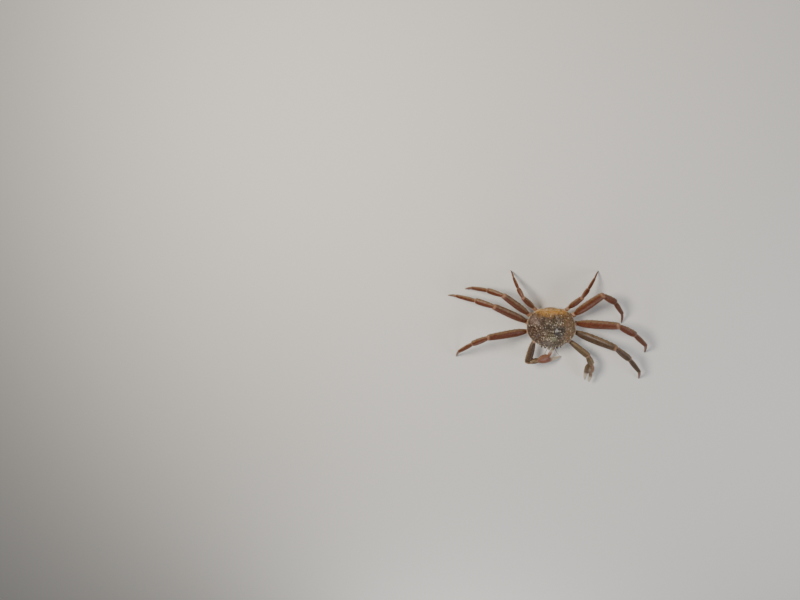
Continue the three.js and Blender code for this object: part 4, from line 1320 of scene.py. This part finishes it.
class CRAB_OT_underside(bpy.types.Operator):
    """Draw the grooved plates between the legs, the tail folded under them and the mouth's plates"""

    bl_idname = "crab.underside"
    bl_label = "Underside"

    # Rings of the breast, from the rear: y, half-width and the height of its underside.
    THORAX = [
        (54, 15, 33), (50, 26, 30), (40, 38, 27.5), (22, 47, 26), (0, 50, 26), (-18, 46, 26.6),
        (-30, 38, 28.6), (-40, 29, 31.8), (-47, 23, 36.6), (-51, 18, 42),
    ]
    THORAX_TOP = 46.7
    THORAX_SIDES = 32
    # The power that makes the rings squarer than circles.
    SQUARENESS = 0.62
    # The seams between the breast's plates: where each starts beside the tail, and its slant outward.
    GROOVES = [(31, 0.35), (17, 0.2), (0, 0.05), (-17, -0.2)]
    GROOVE_DEPTH = 2.2
    GROOVE_REACH = 1.7
    # How far out the seams start and end, over what length they fade, and how far up they reach.
    GROOVE_START = 5
    GROOVE_END = 44
    GROOVE_FADE = 8
    GROOVE_TOP = 36
    # The part behind the mouth that is covered by granules: in front of this y and above this height.
    GRANULES_BEFORE = -34 * MM
    GRANULES_ABOVE = 30 * MM
    FEW_GRANULES = 0.1
    # Spacing, radius, seed and paleness.
    GRANULES = (2.1 * MM, 0.6 * MM, 3, 0.3)
    # Rings of the tail along its curve, from the body down and forward: y, height and half-width.
    TAIL = [
        (57, 45, 17), (59.8, 40.5, 19.5), (59, 34, 20), (54, 28.6, 19.5), (46, 25.4, 18.5), (34, 23.4, 17),
        (20, 22.9, 13.5), (4, 22.9, 9.5), (-10, 23.2, 7), (-20, 24, 4.6),
    ]
    TAIL_STEPS = 12
    TAIL_SIDES = 24
    SEGMENTS = 7
    # Rings of a tail segment: share of its length, and half-thickness. Where that is under CREASE is a seam.
    SEGMENT = [(0.01, 1.1), (0.08, 1.6), (0.2, 2.3), (0.7, 2.7), (0.9, 2.5), (0.97, 1.6)]
    CREASE = 1.7
    TAIL_SQUARENESS = 0.9
    # How far a segment bulges at its middle line, and how broad it is, by its half-thickness.
    TAIL_BULGE = 0.32
    TAIL_WIDTH = (0.93, 0.025)
    # How far forward the sides of the tail bow where it bends down, and the y's between which that grows.
    TAIL_BOW = 3.5
    BOW_RANGE = (50, 58)
    # The heights between which the tail turns to the back's colour.
    UPPER_RANGE = (30, 38)
    # Rings of a mouth plate, of the rod beside it, and of its feeler.
    MOUTH = [
        (0, 4, 1.6), (3, 6.4, 2.6), (11.4, 7.2, 2.8), (12.9, 6.9, 2.2), (14.4, 6.6, 2.6), (20, 6.6, 2.6),
        (23.5, 4, 1.8),
    ]
    ROD = [(0, 1.2, 1), (4, 1.7, 1.3), (16, 1.5, 1.2), (20, 1, 0.9), (23, 0.5, 0.5)]
    FEELER = [
        (-2, 1.5, 1.3), (2.4, 2, 1.7), (3, 1.4, 1.2), (3.8, 1.8, 1.5), (6.8, 1.6, 1.3), (7.4, 1.1, 1),
        (8.2, 1.3, 1.1), (11.5, 0.6, 0.6),
    ]
    ROD_SIDES = 8
    ROD_ROOT = (8.2, 0, 1)
    FEELER_ROOT = (-2, 0, 21.5)
    FEELER_TURN = -150
    MOUTH_ROOT = (7.6, -32.5, 28.6)
    MOUTH_WAY = (0, -0.85, 0.53)
    # Bristles of a mouth plate's edge: number, stretch, how far round they swing, in what steps, lean, size.
    BRISTLES = 26
    BRISTLE_STRETCH = (2, 20)
    BRISTLE_SWING = 0.5
    BRISTLE_STEP = 2.4
    BRISTLE_LEAN = 0.6
    BRISTLE_SIZE = (0.22 * MM, 2.6 * MM)

    def execute(self, context):
        hues = context.scene.crab_colours
        material = underside_shell()
        self.thorax(material)
        self.tail(material)
        self.mouth(limb_shell("mouth plate chitin", hues.joint, hues.leg, hues.leg_pale, hues.underside))
        return {"FINISHED"}

    def stacked(self, name, count, sides):
        """Rings of radius 1 stacked one apart, for their vertices to be placed one by one."""
        return draw_rings(name, [(i / MM, 1 / MM, 1 / MM) for i in range(count)], sides)

    def squarer(self, co, power):
        """A place on a ring of radius 1, moved out towards the corners."""
        return (math.copysign(abs(value) ** power, value) for value in co.xy)

    def ramp(self, value, low, high):
        """How far a value is on its way from low to high, from 0 to 1."""
        return min(max((value - low) / (high - low), 0), 1)

    def face_outward(self, piece):
        choose(piece)
        bpy.ops.object.mode_set(mode="EDIT")
        bpy.ops.mesh.select_all(action="SELECT")
        bpy.ops.mesh.normals_make_consistent(inside=False)
        bpy.ops.object.mode_set(mode="OBJECT")

    def thorax(self, material):
        thorax = self.stacked("thorax_shell", len(self.THORAX), self.THORAX_SIDES)
        for vertex in thorax.data.vertices:
            y, width, bottom = self.THORAX[round(vertex.co.z)]
            across, up = self.squarer(vertex.co, self.SQUARENESS)
            half = (self.THORAX_TOP - bottom) / 2
            vertex.co = Vector((across * width, y, bottom + half + up * half)) * MM
        smooth(thorax, 3)
        mark(thorax, "groove", lambda co: self.seam(co / MM))
        mark(thorax, "cover", self.thorax_cover)
        seams = [item.value for item in thorax.data.attributes["groove"].data]
        for vertex, seam in zip(thorax.data.vertices, seams):
            vertex.co.z += self.GROOVE_DEPTH * seam * MM
        self.face_outward(thorax)
        add_granules(thorax, *self.GRANULES)
        place(thorax, Matrix())
        own(thorax, material, "thorax")

    def thorax_cover(self, co):
        covered = co.y < self.GRANULES_BEFORE and co.z > self.GRANULES_ABOVE
        return 1 if covered else self.FEW_GRANULES

    def seam(self, co):
        """How deep in a seam a place of the breast lies, from 0 to 1."""
        if co.z > self.GROOVE_TOP:
            return 0
        out = abs(co.x)
        fade = min(max((self.GROOVE_END - out) / self.GROOVE_FADE, 0), 1)
        offs = [co.y - start - slant * (out - self.GROOVE_START) for start, slant in self.GROOVES]
        return fade * max(math.exp(-((off / self.GROOVE_REACH) ** 2)) for off in offs)

    def tail(self, material):
        path = spline(self.TAIL, self.TAIL_STEPS)
        stations = []
        for i in range(self.SEGMENTS):
            stations += [((i + share) / self.SEGMENTS, half) for share, half in self.SEGMENT]
        tail = self.stacked("tail_shell", len(stations), self.TAIL_SIDES)
        creases = []
        least_width, gain = self.TAIL_WIDTH
        for vertex in tail.data.vertices:
            share, half = stations[round(vertex.co.z)]
            index = share * (len(path) - 1)
            i = min(int(index), len(path) - 2)
            y, z, width = (a + (b - a) * (index - i) for a, b in zip(path[i], path[i + 1]))
            along = Vector((0, path[i + 1][0] - path[i][0], path[i + 1][1] - path[i][1])).normalized()
            outward = Vector((0, -along.z, along.y))
            side, rise = self.squarer(vertex.co, self.TAIL_SQUARENESS)
            bulge = self.TAIL_BULGE * half * (1 - side * side)
            bow = self.TAIL_BOW * side * side * self.ramp(y, *self.BOW_RANGE)
            foot = Vector((side * width * (least_width + gain * half), y - bow, z))
            vertex.co = (foot + outward * (rise * half - bulge)) * MM
            creases.append(float(half < self.CREASE))
        store(tail, "groove", creases)
        mark(tail, "upper", lambda co: self.ramp(co.z / MM, *self.UPPER_RANGE))
        smooth(tail, 1)
        self.face_outward(tail)
        place(tail, Matrix())
        own(tail, material, "tail_flap")

    def mouth(self, material):
        """The two broad mouth plates, each with a slim rod, a jointed feeler and a fringe of bristles."""
        rows = [(*row, 0) for row in self.MOUTH]
        heights = [z * MM for z in spread(*self.BRISTLE_STRETCH, self.BRISTLES)]
        fringe = [(z, self.BRISTLE_SWING * math.sin(i * self.BRISTLE_STEP)) for i, z in enumerate(heights)]
        for side, name in SIDE_NAMES:
            plate = smooth(draw_rings("mouth_shell_" + name, rows, LIMB_SIDES), 2)
            mark_limb(plate, rows, rows[-1][0])
            plant_spines(plate, edge_places(plate, fringe, -1, self.BRISTLE_LEAN, *self.BRISTLE_SIZE))
            rod = smooth(draw_rings("mouth_rod", self.ROD, self.ROD_SIDES), 2)
            rod.matrix_world = Matrix.Translation(Vector(self.ROD_ROOT) * MM)
            feeler = smooth(draw_rings("mouth_feeler", self.FEELER, self.ROD_SIDES), 2)
            turn = Matrix.Rotation(math.radians(self.FEELER_TURN), 4, "Y")
            feeler.matrix_world = Matrix.Translation(Vector(self.FEELER_ROOT) * MM) @ turn
            join(plate, [rod, feeler])
            root, way = on_side(side, self.MOUTH_ROOT), Vector(self.MOUTH_WAY).normalized()
            place(plate, frame_of(root, way, Vector((side, 0, 0))))
            own(plate, material, "mouth_plate_" + name)


class CRAB_OT_stage(bpy.types.Operator):
    """Set the floor, the soft lights and the camera above and behind the crab"""

    bl_idname = "crab.stage"
    bl_label = "Stage"

    # Where the camera stands: behind and above, at the photograph's angle and distance. The body's middle, a
    # little above the carapace's edge, is in the photograph's place for it.
    ELEVATION = 68
    DISTANCE = 1745.6
    FOCAL_PIXELS = 578
    IMAGE = (800, 600)
    AIM_PIXEL = (551, 330)
    AIM_LIFT = 5
    SENSOR = 36
    CLIPS = (0.05, 50)
    FLOOR = 12
    SKY = ("#eef0f4", 0.2)
    # Soft round lamps: place, width in metres, watts and tint. They face a place low in the crab's middle.
    LAMPS = {
        "key": ((-0.9, 0.9, 1.7), 0.7, 42, "#fff6ea"),
        "fill": ((1.6, -0.4, 1.2), 1.2, 15, "#eaf1ff"),
        "front": ((-0.3, -1.7, 0.8), 0.9, 11, "#ffffff"),
    }
    LAMP_AIM = (0, 0, 0.05)

    def execute(self, context):
        self.floor(context)
        self.lights(context)
        self.camera(context)
        return {"FINISHED"}

    def floor(self, context):
        bpy.ops.object.select_all(action="DESELECT")
        bpy.ops.mesh.primitive_plane_add(size=1)
        floor = context.object
        floor.name = "floor"
        bpy.ops.object.mode_set(mode="EDIT")
        bpy.ops.transform.resize(value=(self.FLOOR, self.FLOOR, 1))
        bpy.ops.object.mode_set(mode="OBJECT")
        material, tree = new_material("matt floor paint")
        paint_colour = context.scene.crab_colours.floor
        shader = add_node(tree, "ShaderNodeBsdfPrincipled", {"Base Color": paint_colour, "Roughness": 0.85})
        add_node(tree, "ShaderNodeOutputMaterial", {"Surface": shader})
        floor.data.materials.append(material)

    def lights(self, context):
        world = bpy.data.worlds.new("soft sky")
        world.use_nodes = True
        background = world.node_tree.nodes["Background"]
        tint, strength = self.SKY
        background.inputs["Color"].default_value = (*linear(tint), 1)
        background.inputs["Strength"].default_value = strength
        context.scene.world = world
        for name, (where, width, watts, tint) in self.LAMPS.items():
            lamp = bpy.data.lights.new(name, "AREA")
            lamp.shape = "DISK"
            lamp.size = width
            lamp.energy = watts
            lamp.color = linear(tint)
            light = bpy.data.objects.new(name, lamp)
            light.location = where
            light.rotation_mode = "QUATERNION"
            light.rotation_quaternion = (Vector(self.LAMP_AIM) - light.location).to_track_quat("-Z", "Y")
            context.scene.collection.objects.link(light)

    def camera(self, context):
        lens = bpy.data.cameras.new("camera")
        lens.sensor_fit = "HORIZONTAL"
        lens.sensor_width = self.SENSOR
        lens.lens = self.SENSOR * self.FOCAL_PIXELS / self.IMAGE[0]
        lens.clip_start, lens.clip_end = self.CLIPS
        camera = bpy.data.objects.new("camera", lens)
        context.scene.collection.objects.link(camera)
        angle = math.radians(self.ELEVATION)
        back = Vector((0, math.cos(angle), math.sin(angle)))
        right = Vector((1, 0, 0))
        square = Matrix((right, back.cross(right), back)).transposed()
        column = (self.AIM_PIXEL[0] - self.IMAGE[0] / 2) / self.FOCAL_PIXELS
        row = (self.IMAGE[1] / 2 - self.AIM_PIXEL[1]) / self.FOCAL_PIXELS
        ray = Vector((column, row, -1)).normalized()
        aside = Vector((0, 0, -1)).rotation_difference(ray).to_matrix()
        middle = context.scene.crab_sizes.margin_height / MM + self.AIM_LIFT
        target = (BODY + Vector((0, 0, middle))) * MM
        camera.location = target + back * self.DISTANCE * MM
        camera.rotation_mode = "QUATERNION"
        camera.rotation_quaternion = (square @ aside.transposed()).to_quaternion()
        context.scene.camera = camera


STEPS = [
    CRAB_OT_carapace,
    CRAB_OT_eyes,
    CRAB_OT_antennae,
    CRAB_OT_walking_legs,
    CRAB_OT_claws,
    CRAB_OT_underside,
    CRAB_OT_stage,
]


class CRAB_PT_panel(bpy.types.Panel):
    """The crab's sizes, colours and building steps"""

    bl_idname = "CRAB_PT_panel"
    bl_label = "Tanner Crab"
    bl_space_type = "VIEW_3D"
    bl_region_type = "UI"
    bl_category = "Crab"

    def draw(self, context):
        for group in (context.scene.crab_sizes, context.scene.crab_colours):
            box = self.layout.box()
            for name in group.bl_rna.properties.keys():
                if name not in ("rna_type", "name"):
                    box.prop(group, name)
        for step in STEPS:
            self.layout.operator(step.bl_idname)


CLASSES = [CrabSizes, CrabColours, *STEPS, CRAB_PT_panel]


def register():
    for item in CLASSES:
        bpy.utils.register_class(item)
    bpy.types.Scene.crab_sizes = PointerProperty(type=CrabSizes)
    bpy.types.Scene.crab_colours = PointerProperty(type=CrabColours)


def unregister():
    del bpy.types.Scene.crab_sizes
    del bpy.types.Scene.crab_colours
    for item in reversed(CLASSES):
        bpy.utils.unregister_class(item)


def main():
    register()
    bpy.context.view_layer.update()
    for step in STEPS:
        family, name = step.bl_idname.split(".")
        getattr(getattr(bpy.ops, family), name)()
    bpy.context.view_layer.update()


if __name__ == "__main__":
    main()
